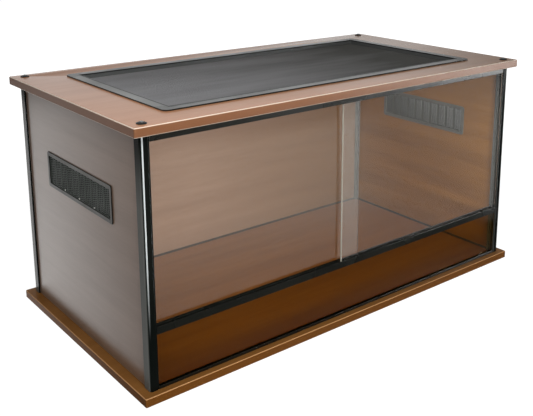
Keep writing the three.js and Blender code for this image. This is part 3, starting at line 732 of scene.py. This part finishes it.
def moulded(name, colour, wear_and_light_colour, rough, wear_and_light_width=0.0006, lit_front_colour=None):
    """Moulded plastic or rubber; its edges get wear and painted light, and faces along X can get a lit
    colour.
    """
    material, tree = new_material(name)
    shader, _ = principled(tree, IOR=1.48)
    speckle = noise(tree, add_node(tree, "ShaderNodeTexCoord").outputs["Object"], 900.0, detail=2.0)
    wear_and_light = use_group(tree, edge, Width=wear_and_light_width, Amount=0.6, Patches=40.0)["Mask"]
    handled = use_group(tree, haze, Scale=12.0, Amount=1.0)["Mask"]
    # Where given, faces along X get painted light and the other faces keep the body colour as painted shade.
    if lit_front_colour:
        colour = blend_colours(tree, use_group(tree, facing, Axis=(1, 0, 0))["Mask"], colour, lit_front_colour)
    feed(tree, shader.inputs["Base Color"], blend_colours(tree, wear_and_light, colour, wear_and_light_colour))
    feed(tree, shader.inputs["Roughness"], remap(tree, handled, 0.0, 1.0, rough, rough + 0.15))
    feed(tree, shader.inputs["Normal"], bump(tree, speckle, 0.15, 0.0001))
    return material


ring_grey = moulded("ring_grey", rgb(112, 113, 108), rgb(140, 142, 138), 0.5)
# Painted shade: the bezel is black on all but its front faces, which get painted light and black edges.
bezel_black = moulded(
    "bezel_black", rgb(12, 13, 12), rgb(10, 11, 10), 0.4, wear_and_light_width=0.0018, lit_front_colour=rgb(78, 77, 72)
)
# Painted shade: the grille is black in its holes, with painted light on its front faces and pale edges.
grille_black = moulded("grille_black", rgb(6, 8, 7), rgb(100, 106, 100), 0.45, lit_front_colour=rgb(84, 90, 84))
peg_grey = moulded("peg_grey", rgb(196, 196, 190), rgb(210, 210, 206), 0.3)
washer_black = moulded("washer_black", rgb(26, 27, 27), rgb(60, 60, 60), 0.35)
seal_rubber = moulded("seal_rubber", rgb(62, 42, 26), rgb(66, 46, 30), 0.85)
wire_grey = woven("wire_grey", rgb(156, 156, 158), rgb(84, 84, 82))
print("plastics, rubber and wire are ready")

# %% [markdown]
# Glass needs one trick. Rays from the lamps would stop at a sheet of glass, because Cycles looks for a
# lamp in a straight line, and the inside of the cabinet would stay black. So for shadow rays alone the
# sheet is clear. The tinted pane has a low refractive index, which keeps its mirror image faint. The
# ground end of a door is a pale matt finish of its own.

# %% Glass
DOOR_TINT = (0.95, 0.95, 0.93, 1.0)
PANE_TINT = (0.53, 0.42, 0.175, 1.0)


def clear_sheet(name, tint, ior):
    """Glass that lets lamp light through to what is behind it."""
    material, tree = new_material(name)
    shader, output = principled(tree, Base_Color=tint, Roughness=0.0, IOR=ior, Transmission_Weight=1.0)
    shadow_ray = add_node(tree, "ShaderNodeLightPath").outputs["Is Shadow Ray"]
    clear = add_node(tree, "ShaderNodeBsdfTransparent")
    feed(tree, clear.inputs["Color"], tint)
    mix = add_node(tree, "ShaderNodeMixShader")
    feed(tree, mix.inputs[0], shadow_ray)
    tree.links.new(shader.outputs[0], mix.inputs[1])
    tree.links.new(clear.outputs[0], mix.inputs[2])
    tree.links.new(mix.outputs[0], output.inputs["Surface"])
    return material


def ground_edge(name, colour, scratch_colour):
    """The matt pale edge of a cut sheet."""
    material, tree = new_material(name)
    shader, _ = principled(tree, IOR=1.5)
    scratches = noise(tree, stretched(tree, (600, 600, 60)), 1.0, detail=2.0)
    feed(tree, shader.inputs["Base Color"], blend_colours(tree, scratches, colour, scratch_colour))
    feed(tree, shader.inputs["Roughness"], remap(tree, scratches, 0.3, 0.7, 0.25, 0.45))
    return material


door_glass = clear_sheet("door_glass", DOOR_TINT, 1.52)
pane_glass = clear_sheet("pane_glass", PANE_TINT, 1.19)
edge_glass = ground_edge("edge_glass", rgb(168, 160, 144), rgb(196, 192, 180))
print("glass is ready")

# %% [markdown]
# Every solid has sharp edges, and nothing real has. A helper copies a solid's mesh, joins its loose
# triangles, melts flat neighbours together and rounds what is left with a Bevel modifier. The copy then
# stands in for the solid, in exactly the same place. Rounded edges give each part its thin line of
# light.

# %% Rounded copies of the solids
SLOT_OF = {part["node"]: part["material_slot"] for part in frame["record"]["subparts"]}
BODIES = frame["record"]["behaviour"]["bodies"]
BODY_OF = {node: body for body, members in BODIES.items() for node in members}


def solid_copy(node):
    """The solid's mesh with its triangles joined and its flat faces whole."""
    cast = bmesh.new()
    cast.from_mesh(nodes[node].data)
    bmesh.ops.remove_doubles(cast, verts=cast.verts, dist=1e-6)
    bmesh.ops.dissolve_limit(cast, angle_limit=math.radians(1.0), verts=cast.verts, edges=cast.edges)
    return cast


def finish_piece(piece, body, slot, *replaced):
    """Hides the solids that a finished piece replaces and parents it to its body's empty."""
    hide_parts(*replaced)
    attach(piece, body)


def rounded_part(node, material, radius, segments):
    """A copy of a solid with rounded edges, which takes the solid's place."""
    cast = solid_copy(node)
    mesh = bpy.data.meshes.new(node + "_rounded")
    cast.to_mesh(mesh)
    cast.free()
    mesh.materials.append(material)
    piece = bpy.data.objects.new(node + "_rounded", mesh)
    scene.collection.objects.link(piece)
    bevel = piece.modifiers.new("edges", "BEVEL")
    bevel.width = radius
    bevel.segments = segments
    bevel.limit_method = "ANGLE"
    bevel.angle_limit = math.radians(30)
    bevel.harden_normals = True
    graph = bpy.context.evaluated_depsgraph_get()
    baked = bpy.data.meshes.new_from_object(piece.evaluated_get(graph), depsgraph=graph)
    piece.modifiers.clear()
    piece.data = baked
    piece.data.name = node + "_rounded"
    finish_piece(piece, BODY_OF[node], SLOT_OF[node], node)
    return piece


CORNER_NAMES = ("front_left", "front_right", "back_left", "back_right")
SIDE_NAMES = ("left", "right")
SOFT_EDGE = (0.0007, 3)
CRISP_EDGE = (0.0004, 2)
ROUNDED = [
    (["top_board"], top_laminate, SOFT_EDGE),
    (["base_board"], base_laminate, SOFT_EDGE),
    (["post_" + corner for corner in CORNER_NAMES], post_black, CRISP_EDGE),
    (["upper_track", "lower_track", "bottom_rail"], track_black, CRISP_EDGE),
    (["screen_rail_" + side for side in ("front", "back", "left", "right")], rail_grey, CRISP_EDGE),
    (["screen_corner_" + corner for corner in CORNER_NAMES], key_grey, CRISP_EDGE),
    (["vent_bezel_" + side for side in SIDE_NAMES], bezel_black, SOFT_EDGE),
    (["vent_ring_" + side for side in SIDE_NAMES], ring_grey, SOFT_EDGE),
]
for members, material, edge_shape in ROUNDED:
    for member in members:
        part = rounded_part(member, material, *edge_shape)
        print(part.name, len(part.data.polygons), "faces")

# %% [markdown]
# Flat panels and the hidden trim keep their solids, because nothing about their shape would change. Only
# the material is set. The mesh of a solid is never edited.

# %% Finishes on solids that stay
KEPT = {
    "back_panel": back_laminate,
    "side_panel_left": left_laminate,
    "side_panel_right": right_laminate,
    "screen_spline": seal_rubber,
    "floor_seal_back": seal_rubber,
    "floor_seal_left": seal_rubber,
    "floor_seal_right": seal_rubber,
}


def paint_solid(node, material):
    """A solid's own mesh with a new finish."""
    solid = nodes[node]
    solid.data.materials.clear()
    solid.data.materials.append(material)


for kept_node, kept_material in KEPT.items():
    paint_solid(kept_node, kept_material)
print("kept solids:", len(KEPT))

# %% [markdown]
# The doors and the pane are slabs with an arris, the small slant that takes the sharp edge off glass.
# They are built from the box that each solid fills. The front door's free end is where fingers pull it.
# It is ground matt, and catches the light as one bright upright line. All the other edges are polished.

# %% Glass sheets
ARRIS = 0.0008


def glass_sheet(node, polished, ground_end=False):
    """A slab with an arris; its left end can be ground matt."""
    low, high = (Vector(corner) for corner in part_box(node))
    cast = bmesh.new()
    bmesh.ops.create_cube(cast, size=1.0)
    for vertex in cast.verts:
        vertex.co = Vector(low[i] + (vertex.co[i] + 0.5) * (high[i] - low[i]) for i in range(3))
    bmesh.ops.bevel(cast, geom=cast.edges, offset=ARRIS, segments=2, affect="EDGES", profile=0.5)
    cast.normal_update()
    for face in cast.faces:
        face.material_index = 1 if ground_end and face.normal.x < -0.3 else 0
    mesh = bpy.data.meshes.new(node + "_sheet")
    cast.to_mesh(mesh)
    cast.free()
    mesh.materials.append(polished)
    mesh.materials.append(edge_glass)
    piece = bpy.data.objects.new(node + "_sheet", mesh)
    scene.collection.objects.link(piece)
    finish_piece(piece, BODY_OF[node], SLOT_OF[node], node)
    print(piece.name, "is", round(high[0] - low[0], 4), "m wide")


glass_sheet("left_door", door_glass)
glass_sheet("right_door", door_glass, ground_end=True)
glass_sheet("front_pane", pane_glass)

# %% [markdown]
# What repeats is made with Geometry Nodes. They keep one item and its places in memory until Realize
# Instances turns them into real mesh, which the export needs. These helpers write the lines that every
# tree shares: named inputs at the start, and at the end real mesh with its material. The result is kept
# as a plain mesh.

# %% Geometry Nodes helpers
MATERIAL = "NodeSocketMaterial"


def new_tree(name, inputs):
    """A geometry tree with named inputs and one geometry output."""
    tree = bpy.data.node_groups.new(name, "GeometryNodeTree")
    for socket_name, kind in inputs:
        tree.interface.new_socket(name=socket_name, in_out="INPUT", socket_type=kind)
    tree.interface.new_socket(name="Geometry", in_out="OUTPUT", socket_type="NodeSocketGeometry")
    return tree, add_node(tree, "NodeGroupInput").outputs, add_node(tree, "NodeGroupOutput").inputs


def put(tree, kind, values=None, **settings):
    """A node with its settings, and its inputs by name or number."""
    node = add_node(tree, kind, **settings)
    for key, value in (values or {}).items():
        feed(tree, node.inputs[key], value)
    return node


def vector_of(tree, x=0.0, y=0.0, z=0.0):
    """A vector from three numbers."""
    return put(tree, "ShaderNodeCombineXYZ", {0: x, 1: y, 2: z}).outputs[0]


def join(tree, *parts):
    """Several geometries as one."""
    joined = add_node(tree, "GeometryNodeJoinGeometry")
    for part in parts:
        tree.links.new(part, joined.inputs[0])
    return joined.outputs[0]


def shift(tree, geometry, translation):
    """A geometry in another place."""
    return put(tree, "GeometryNodeTransform", {"Geometry": geometry, "Translation": translation}).outputs[0]


def line_of_points(tree, count, start, step):
    """Points in a row."""
    return put(
        tree, "GeometryNodeMeshLine", {"Count": count, "Start Location": start, "Offset": step}
    ).outputs[0]


def instances(tree, points, shape):
    """The shape at each of the points."""
    return put(tree, "GeometryNodeInstanceOnPoints", {"Points": points, "Instance": shape}).outputs[0]


def end_tree(tree, end, parts):
    """Makes each part real, gives it its material and joins them all."""
    finished = []
    for geometry, material in parts:
        real = put(tree, "GeometryNodeRealizeInstances", {0: geometry}).outputs[0]
        painted = put(tree, "GeometryNodeSetMaterial", {"Geometry": real, "Material": material})
        finished.append(painted.outputs[0])
    tree.links.new(join(tree, *finished), end["Geometry"])


def grow(name, tree, values):
    """Runs a tree with its values and returns the result as a plain mesh object."""
    carrier = bpy.data.objects.new(name + "_carrier", bpy.data.meshes.new(name + "_carrier"))
    scene.collection.objects.link(carrier)
    modifier = carrier.modifiers.new("grow", "NODES")
    modifier.node_group = tree
    for item in tree.interface.items_tree:
        if item.in_out == "INPUT" and item.name in values:
            modifier[item.identifier] = values[item.name]
    graph = bpy.context.evaluated_depsgraph_get()
    mesh = bpy.data.meshes.new_from_object(carrier.evaluated_get(graph), depsgraph=graph)
    bpy.data.objects.remove(carrier)
    mesh.name = name
    piece = bpy.data.objects.new(name, mesh)
    scene.collection.objects.link(piece)
    print(name, len(mesh.polygons), "faces")
    return piece


print("geometry helpers are ready")

# %% [markdown]
# The screen's cloth is two sets of straight wires. One wire is set out many times across the frame, and
# the second set crosses it a little less than a wire's thickness lower, so that the two touch. Real
# wires go over and under each other, but at this size nobody can see that, and straight wires need only
# six faces each.

# %% The screen's wires
WIRE_PITCH = 0.0017
WIRE_WIDTH = 0.00045
LOWER_BY = 0.9

wires, wires_in, wires_end = new_tree(
    "crossed_wires",
    [
        ("Centre", VECTOR), ("Width", FLOAT), ("Depth", FLOAT), ("Pitch", FLOAT), ("Wire", FLOAT),
        ("Material", MATERIAL),
    ],
)


def wire_set(span, length, runs_along_y):
    """Parallel wires set out over a span, centred on the origin."""
    count = maths(wires, "FLOOR", maths(wires, "DIVIDE", span, wires_in["Pitch"]))
    reach = maths(wires, "MULTIPLY", maths(wires, "SUBTRACT", count, 1.0), wires_in["Pitch"])
    start = maths(wires, "MULTIPLY", reach, -0.5)
    if runs_along_y:
        size = vector_of(wires, wires_in["Wire"], length, wires_in["Wire"])
        first, step = vector_of(wires, x=start), vector_of(wires, x=wires_in["Pitch"])
    else:
        size = vector_of(wires, length, wires_in["Wire"], wires_in["Wire"])
        first, step = vector_of(wires, y=start), vector_of(wires, y=wires_in["Pitch"])
    wire = put(wires, "GeometryNodeMeshCube", {"Size": size}).outputs[0]
    return instances(wires, line_of_points(wires, count, first, step), wire)


upper_set = wire_set(wires_in["Width"], wires_in["Depth"], True)
lower_set = wire_set(wires_in["Depth"], wires_in["Width"], False)
drop = vector_of(wires, z=maths(wires, "MULTIPLY", wires_in["Wire"], -LOWER_BY))
crossed = join(wires, upper_set, shift(wires, lower_set, drop))
end_tree(wires, wires_end, [(shift(wires, crossed, wires_in["Centre"]), wires_in["Material"])])

mesh_low, mesh_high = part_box("screen_mesh")
screen_wires = grow("screen_wires", wires, {
    "Centre": (
        (mesh_low[0] + mesh_high[0]) / 2, (mesh_low[1] + mesh_high[1]) / 2, mesh_low[2] + WIRE_WIDTH * 1.5,
    ),
    "Width": mesh_high[0] - mesh_low[0],
    "Depth": mesh_high[1] - mesh_low[1],
    "Pitch": WIRE_PITCH,
    "Wire": WIRE_WIDTH,
    "Material": wire_grey,
})
finish_piece(screen_wires, BODY_OF["screen_mesh"], SLOT_OF["screen_mesh"], "screen_mesh")

# %% [markdown]
# The vent's insert is a plate with hundreds of small diamond holes, in ten upright bands with a plain
# bar between them. The tree sets out the holes of one band and repeats the band. A diamond is a cylinder
# with four sides, laid on its side. Modelling each hole by hand would take days, and a picture of holes
# would let no light through.

# %% The holes of a vent's insert
BANDS = 10
COLUMNS = 3
ROWS = 15
SPARE_ROWS = 0.6
BAR_WIDTH = 0.0062
HOLE_HEIGHT = 0.0040
HOLE_WIDTH = 0.0116
CUT_THROUGH = 3.0

insert, insert_in, insert_end = new_tree(
    "perforated_insert",
    [
        ("Centre", VECTOR), ("Thickness", FLOAT), ("Field Depth", FLOAT), ("Length", FLOAT),
        ("Height", FLOAT), ("Open Length", FLOAT), ("Open Height", FLOAT), ("Outward", FLOAT),
        ("Material", MATERIAL), ("Peg Material", MATERIAL),
    ],
)
band_pitch = maths(insert, "DIVIDE", insert_in["Open Length"], float(BANDS))
column_pitch = maths(insert, "DIVIDE", maths(insert, "SUBTRACT", band_pitch, BAR_WIDTH), float(COLUMNS))
row_pitch = maths(insert, "DIVIDE", insert_in["Open Height"], ROWS + SPARE_ROWS)
thickness = insert_in["Thickness"]


def upright_line(count, y):
    """Points one row apart, centred on the middle of the vent's height."""
    start = vector_of(insert, y=y, z=maths(insert, "MULTIPLY", row_pitch, -(count - 1) / 2))
    step = vector_of(insert, z=row_pitch)
    return line_of_points(insert, count, start, step)


def band_line(count):
    """Points one band apart, centred on the middle of the vent's length."""
    start = vector_of(insert, y=maths(insert, "MULTIPLY", band_pitch, -(count - 1) / 2))
    return line_of_points(insert, count, start, vector_of(insert, y=band_pitch))


four_sided = put(insert, "GeometryNodeMeshCylinder", {"Vertices": 4, "Radius": 0.5, "Depth": 1.0})
lying = put(insert, "GeometryNodeTransform", {
    "Geometry": four_sided.outputs[0], "Rotation": (0.0, math.pi / 2, 0.0),
})
hole_length = maths(insert, "MULTIPLY", insert_in["Field Depth"], CUT_THROUGH)
hole_size = vector_of(insert, hole_length, HOLE_WIDTH, HOLE_HEIGHT)
hole = put(insert, "GeometryNodeTransform", {"Geometry": lying.outputs[0], "Scale": hole_size}).outputs[0]
side_step = maths(insert, "MULTIPLY", column_pitch, -1.0)
band_points = join(
    insert, upright_line(ROWS, side_step), upright_line(ROWS - 1, 0.0), upright_line(ROWS, column_pitch)
)
band_of_holes = instances(insert, band_points, hole)
bands_of_holes = instances(insert, band_line(BANDS), band_of_holes)
all_holes = put(insert, "GeometryNodeRealizeInstances", {0: bands_of_holes})
print("one insert has", BANDS * (COLUMNS * ROWS - 1), "holes")

# %% [markdown]
# The insert is a thin plate with a deeper field that fills the frame's opening. The two are joined, and
# one cut takes all the holes out together, which keeps the result a closed mesh. Slim ribs stand on the
# bars, and three pegs along the lower edge snap the insert into its frame.

# %% The plate, ribs and pegs of a vent's insert
FIELD_CLEARANCE = 0.0004
RIB_WIDTH = 0.0016
RIB_HEIGHT = 0.0009
PEG_COUNT = 3
PEG_SIDES = 24
PEG_SPACING = 0.081
PEG_RADIUS = 0.0021
PEG_LENGTH = 0.0024
PEG_INSET = 0.0026

plate_size = vector_of(insert, thickness, insert_in["Length"], insert_in["Height"])
plate = put(insert, "GeometryNodeMeshCube", {"Size": plate_size})
clearances = 2 * FIELD_CLEARANCE
field = put(insert, "GeometryNodeMeshCube", {"Size": vector_of(
    insert,
    insert_in["Field Depth"],
    maths(insert, "SUBTRACT", insert_in["Open Length"], clearances),
    maths(insert, "SUBTRACT", insert_in["Open Height"], clearances),
)})
behind_plate = maths(insert, "MULTIPLY", maths(insert, "SUBTRACT", thickness, insert_in["Field Depth"]), 0.5)
inward = vector_of(insert, x=maths(insert, "MULTIPLY", behind_plate, insert_in["Outward"]))
field_placed = shift(insert, field.outputs[0], inward)
body = put(insert, "GeometryNodeMeshBoolean", operation="UNION", solver="EXACT")
insert.links.new(plate.outputs[0], body.inputs["Mesh 2"])
insert.links.new(field_placed, body.inputs["Mesh 2"])
perforated = put(insert, "GeometryNodeMeshBoolean", operation="DIFFERENCE", solver="EXACT")
insert.links.new(body.outputs["Mesh"], perforated.inputs["Mesh 1"])
insert.links.new(all_holes.outputs[0], perforated.inputs["Mesh 2"])

surface = maths(insert, "MULTIPLY", maths(insert, "MULTIPLY", thickness, 0.5), insert_in["Outward"])
rib = put(insert, "GeometryNodeMeshCube", {
    "Size": vector_of(insert, 2 * RIB_HEIGHT, RIB_WIDTH, insert_in["Open Height"]),
})
rib_row = instances(insert, band_line(BANDS - 1), rib.outputs[0])
ribs = shift(insert, rib_row, vector_of(insert, x=surface))
round_peg = put(insert, "GeometryNodeMeshCylinder", {
    "Vertices": PEG_SIDES, "Radius": PEG_RADIUS, "Depth": PEG_LENGTH,
})
peg = put(insert, "GeometryNodeTransform", {
    "Geometry": round_peg.outputs[0], "Rotation": (0.0, math.pi / 2, 0.0),
}).outputs[0]
peg_points = line_of_points(insert, PEG_COUNT, (0.0, -PEG_SPACING, 0.0), (0.0, PEG_SPACING, 0.0))
peg_height = maths(insert, "MULTIPLY_ADD", insert_in["Open Height"], -0.5, PEG_INSET)
peg_place = vector_of(insert, x=surface, z=peg_height)
pegs = shift(insert, instances(insert, peg_points, peg), peg_place)
ribbed = join(insert, perforated.outputs["Mesh"], ribs)
end_tree(insert, insert_end, [
    (shift(insert, ribbed, insert_in["Centre"]), insert_in["Material"]),
    (shift(insert, pegs, insert_in["Centre"]), insert_in["Peg Material"]),
])
print("perforated_insert has", len(insert.nodes), "nodes")

# %% [markdown]
# Both vents share this tree. Each insert takes its place and size from the box of its own solid, and one
# number says which way is outward, so a loop grows the two.

# %% Both vents' inserts
PLATE_THICKNESS = 0.002
FIELD_DEPTH = 0.006
SEAT_LAND = 0.002
for side, outward in zip(SIDE_NAMES, (-1.0, 1.0)):
    node = "vent_grille_" + side
    low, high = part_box(node)
    inner_face = high[0] if outward < 0 else low[0]
    plate_middle = inner_face + outward * PLATE_THICKNESS / 2
    vent_insert = grow("vent_insert_" + side, insert, {
        "Centre": (plate_middle, (low[1] + high[1]) / 2, (low[2] + high[2]) / 2),
        "Thickness": PLATE_THICKNESS,
        "Field Depth": FIELD_DEPTH,
        "Length": high[1] - low[1],
        "Height": high[2] - low[2],
        "Open Length": high[1] - low[1] - 2 * SEAT_LAND,
        "Open Height": high[2] - low[2] - 2 * SEAT_LAND,
        "Outward": outward,
        "Material": grille_black,
        "Peg Material": peg_grey,
    })
    finish_piece(vent_insert, BODY_OF[node], SLOT_OF[node], node)

# %% [markdown]
# The same screw and washer sit at all four corners. One of each is modelled by turning a profile round
# an axis, and a tree sets it out at the corners of a rectangle. A rectangle of points is a grid with two
# points each way.

# %% Turned shapes and the four corners


def turned(name, profile, sides):
    """A shape made by turning a list of radii and heights round the Z axis."""
    cast = bmesh.new()
    points = [cast.verts.new((radius, 0.0, height)) for radius, height in profile]
    edges = [cast.edges.new(pair) for pair in zip(points, points[1:])]
    bmesh.ops.spin(
        cast, geom=points + edges, cent=(0, 0, 0), axis=(0, 0, 1), angle=math.tau, steps=sides,
        use_merge=True,
    )
    bmesh.ops.remove_doubles(cast, verts=cast.verts, dist=1e-7)
    bmesh.ops.recalc_face_normals(cast, faces=cast.faces)
    mesh = bpy.data.meshes.new(name)
    cast.to_mesh(mesh)
    cast.free()
    mesh.shade_smooth()
    template = bpy.data.objects.new(name, mesh)
    scene.collection.objects.link(template)
    return template


corners, corners_in, corners_end = new_tree(
    "at_four_corners",
    [
        ("Item", "NodeSocketObject"), ("Centre", VECTOR), ("Width", FLOAT), ("Depth", FLOAT),
        ("Material", MATERIAL),
    ],
)
corner_grid = put(corners, "GeometryNodeMeshGrid", {
    "Size X": corners_in["Width"], "Size Y": corners_in["Depth"], "Vertices X": 2, "Vertices Y": 2,
})
item_info = put(corners, "GeometryNodeObjectInfo", {"Object": corners_in["Item"]})
corner_items = instances(corners, corner_grid.outputs[0], item_info.outputs["Geometry"])
corner_placed = shift(corners, corner_items, corners_in["Centre"])
end_tree(corners, corners_end, [(corner_placed, corners_in["Material"])])


def set_at_corners(name, template, node_prefix, seat_height, material):
    """The template at the middle of four solids, which it stands for."""
    replaced = [node_prefix + corner for corner in CORNER_NAMES]
    boxes = [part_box(node) for node in replaced]
    middles = [((low[0] + high[0]) / 2, (low[1] + high[1]) / 2) for low, high in boxes]
    xs, ys = zip(*middles)
    piece = grow(name, corners, {
        "Item": template,
        "Centre": ((max(xs) + min(xs)) / 2, (max(ys) + min(ys)) / 2, seat_height),
        "Width": max(xs) - min(xs),
        "Depth": max(ys) - min(ys),
        "Material": material,
    })
    finish_piece(piece, BODY_OF[replaced[0]], SLOT_OF[replaced[0]], *replaced)
    bpy.data.objects.remove(template)


print("at_four_corners has", len(corners.nodes), "nodes")

# %% [markdown]
# A cup washer spreads the screw's pull and hides its hole. The screw has a low round head with a recess
# for the driver, and a plain shank. Above, it goes down through the washer and the board into a post.
# Below, the same screw comes up from a pocket in the base board, so its profile is turned upside down.

# %% Washers and screws
WASHER_SIDES = 40
SCREW_SIDES = 36
HEAD_HEIGHT = 0.0022

washer_low, washer_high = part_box("top_washer_front_left")
washer_height = washer_high[2] - washer_low[2]
washer_profile = [
    (0.0034, 0.0), (0.0115, 0.0), (0.0115, 0.0005), (0.0111, 0.0012), (0.0100, 0.0019),
    (0.0086, washer_height), (0.0072, washer_height), (0.0062, 0.0021), (0.0056, 0.0016),
    (0.0034, 0.0016), (0.0034, 0.0),
]
cup_washer = turned("cup_washer", washer_profile, WASHER_SIDES)
set_at_corners("cup_washers", cup_washer, "top_washer_", washer_low[2], washer_black)


def screw_template(name, turn):
    """A button-head screw, its head's seat at height zero; a turn of -1 points its head down."""
    profile = [
        (0.0, -0.044), (0.002, -0.044), (0.003, -0.043), (0.003, 0.0), (0.005, 0.0), (0.005, 0.0008),
        (0.0048, 0.0014), (0.0042, 0.0018), (0.0034, 0.0021), (0.0027, HEAD_HEIGHT), (0.0023, HEAD_HEIGHT),
        (0.0022, 0.0020), (0.0021, 0.0011), (0.0, 0.0010),
    ]
    return turned(name, [(radius, height * turn) for radius, height in profile], SCREW_SIDES)


top_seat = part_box("top_bolt_front_left")[1][2] - HEAD_HEIGHT
set_at_corners("top_screws", screw_template("top_screw", 1.0), "top_bolt_", top_seat, screw_black)
base_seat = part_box("base_bolt_front_left")[0][2] + HEAD_HEIGHT
set_at_corners("base_screws", screw_template("base_screw", -1.0), "base_bolt_", base_seat, screw_black)

# %% [markdown]

# %% End
print("all pieces are dressed")
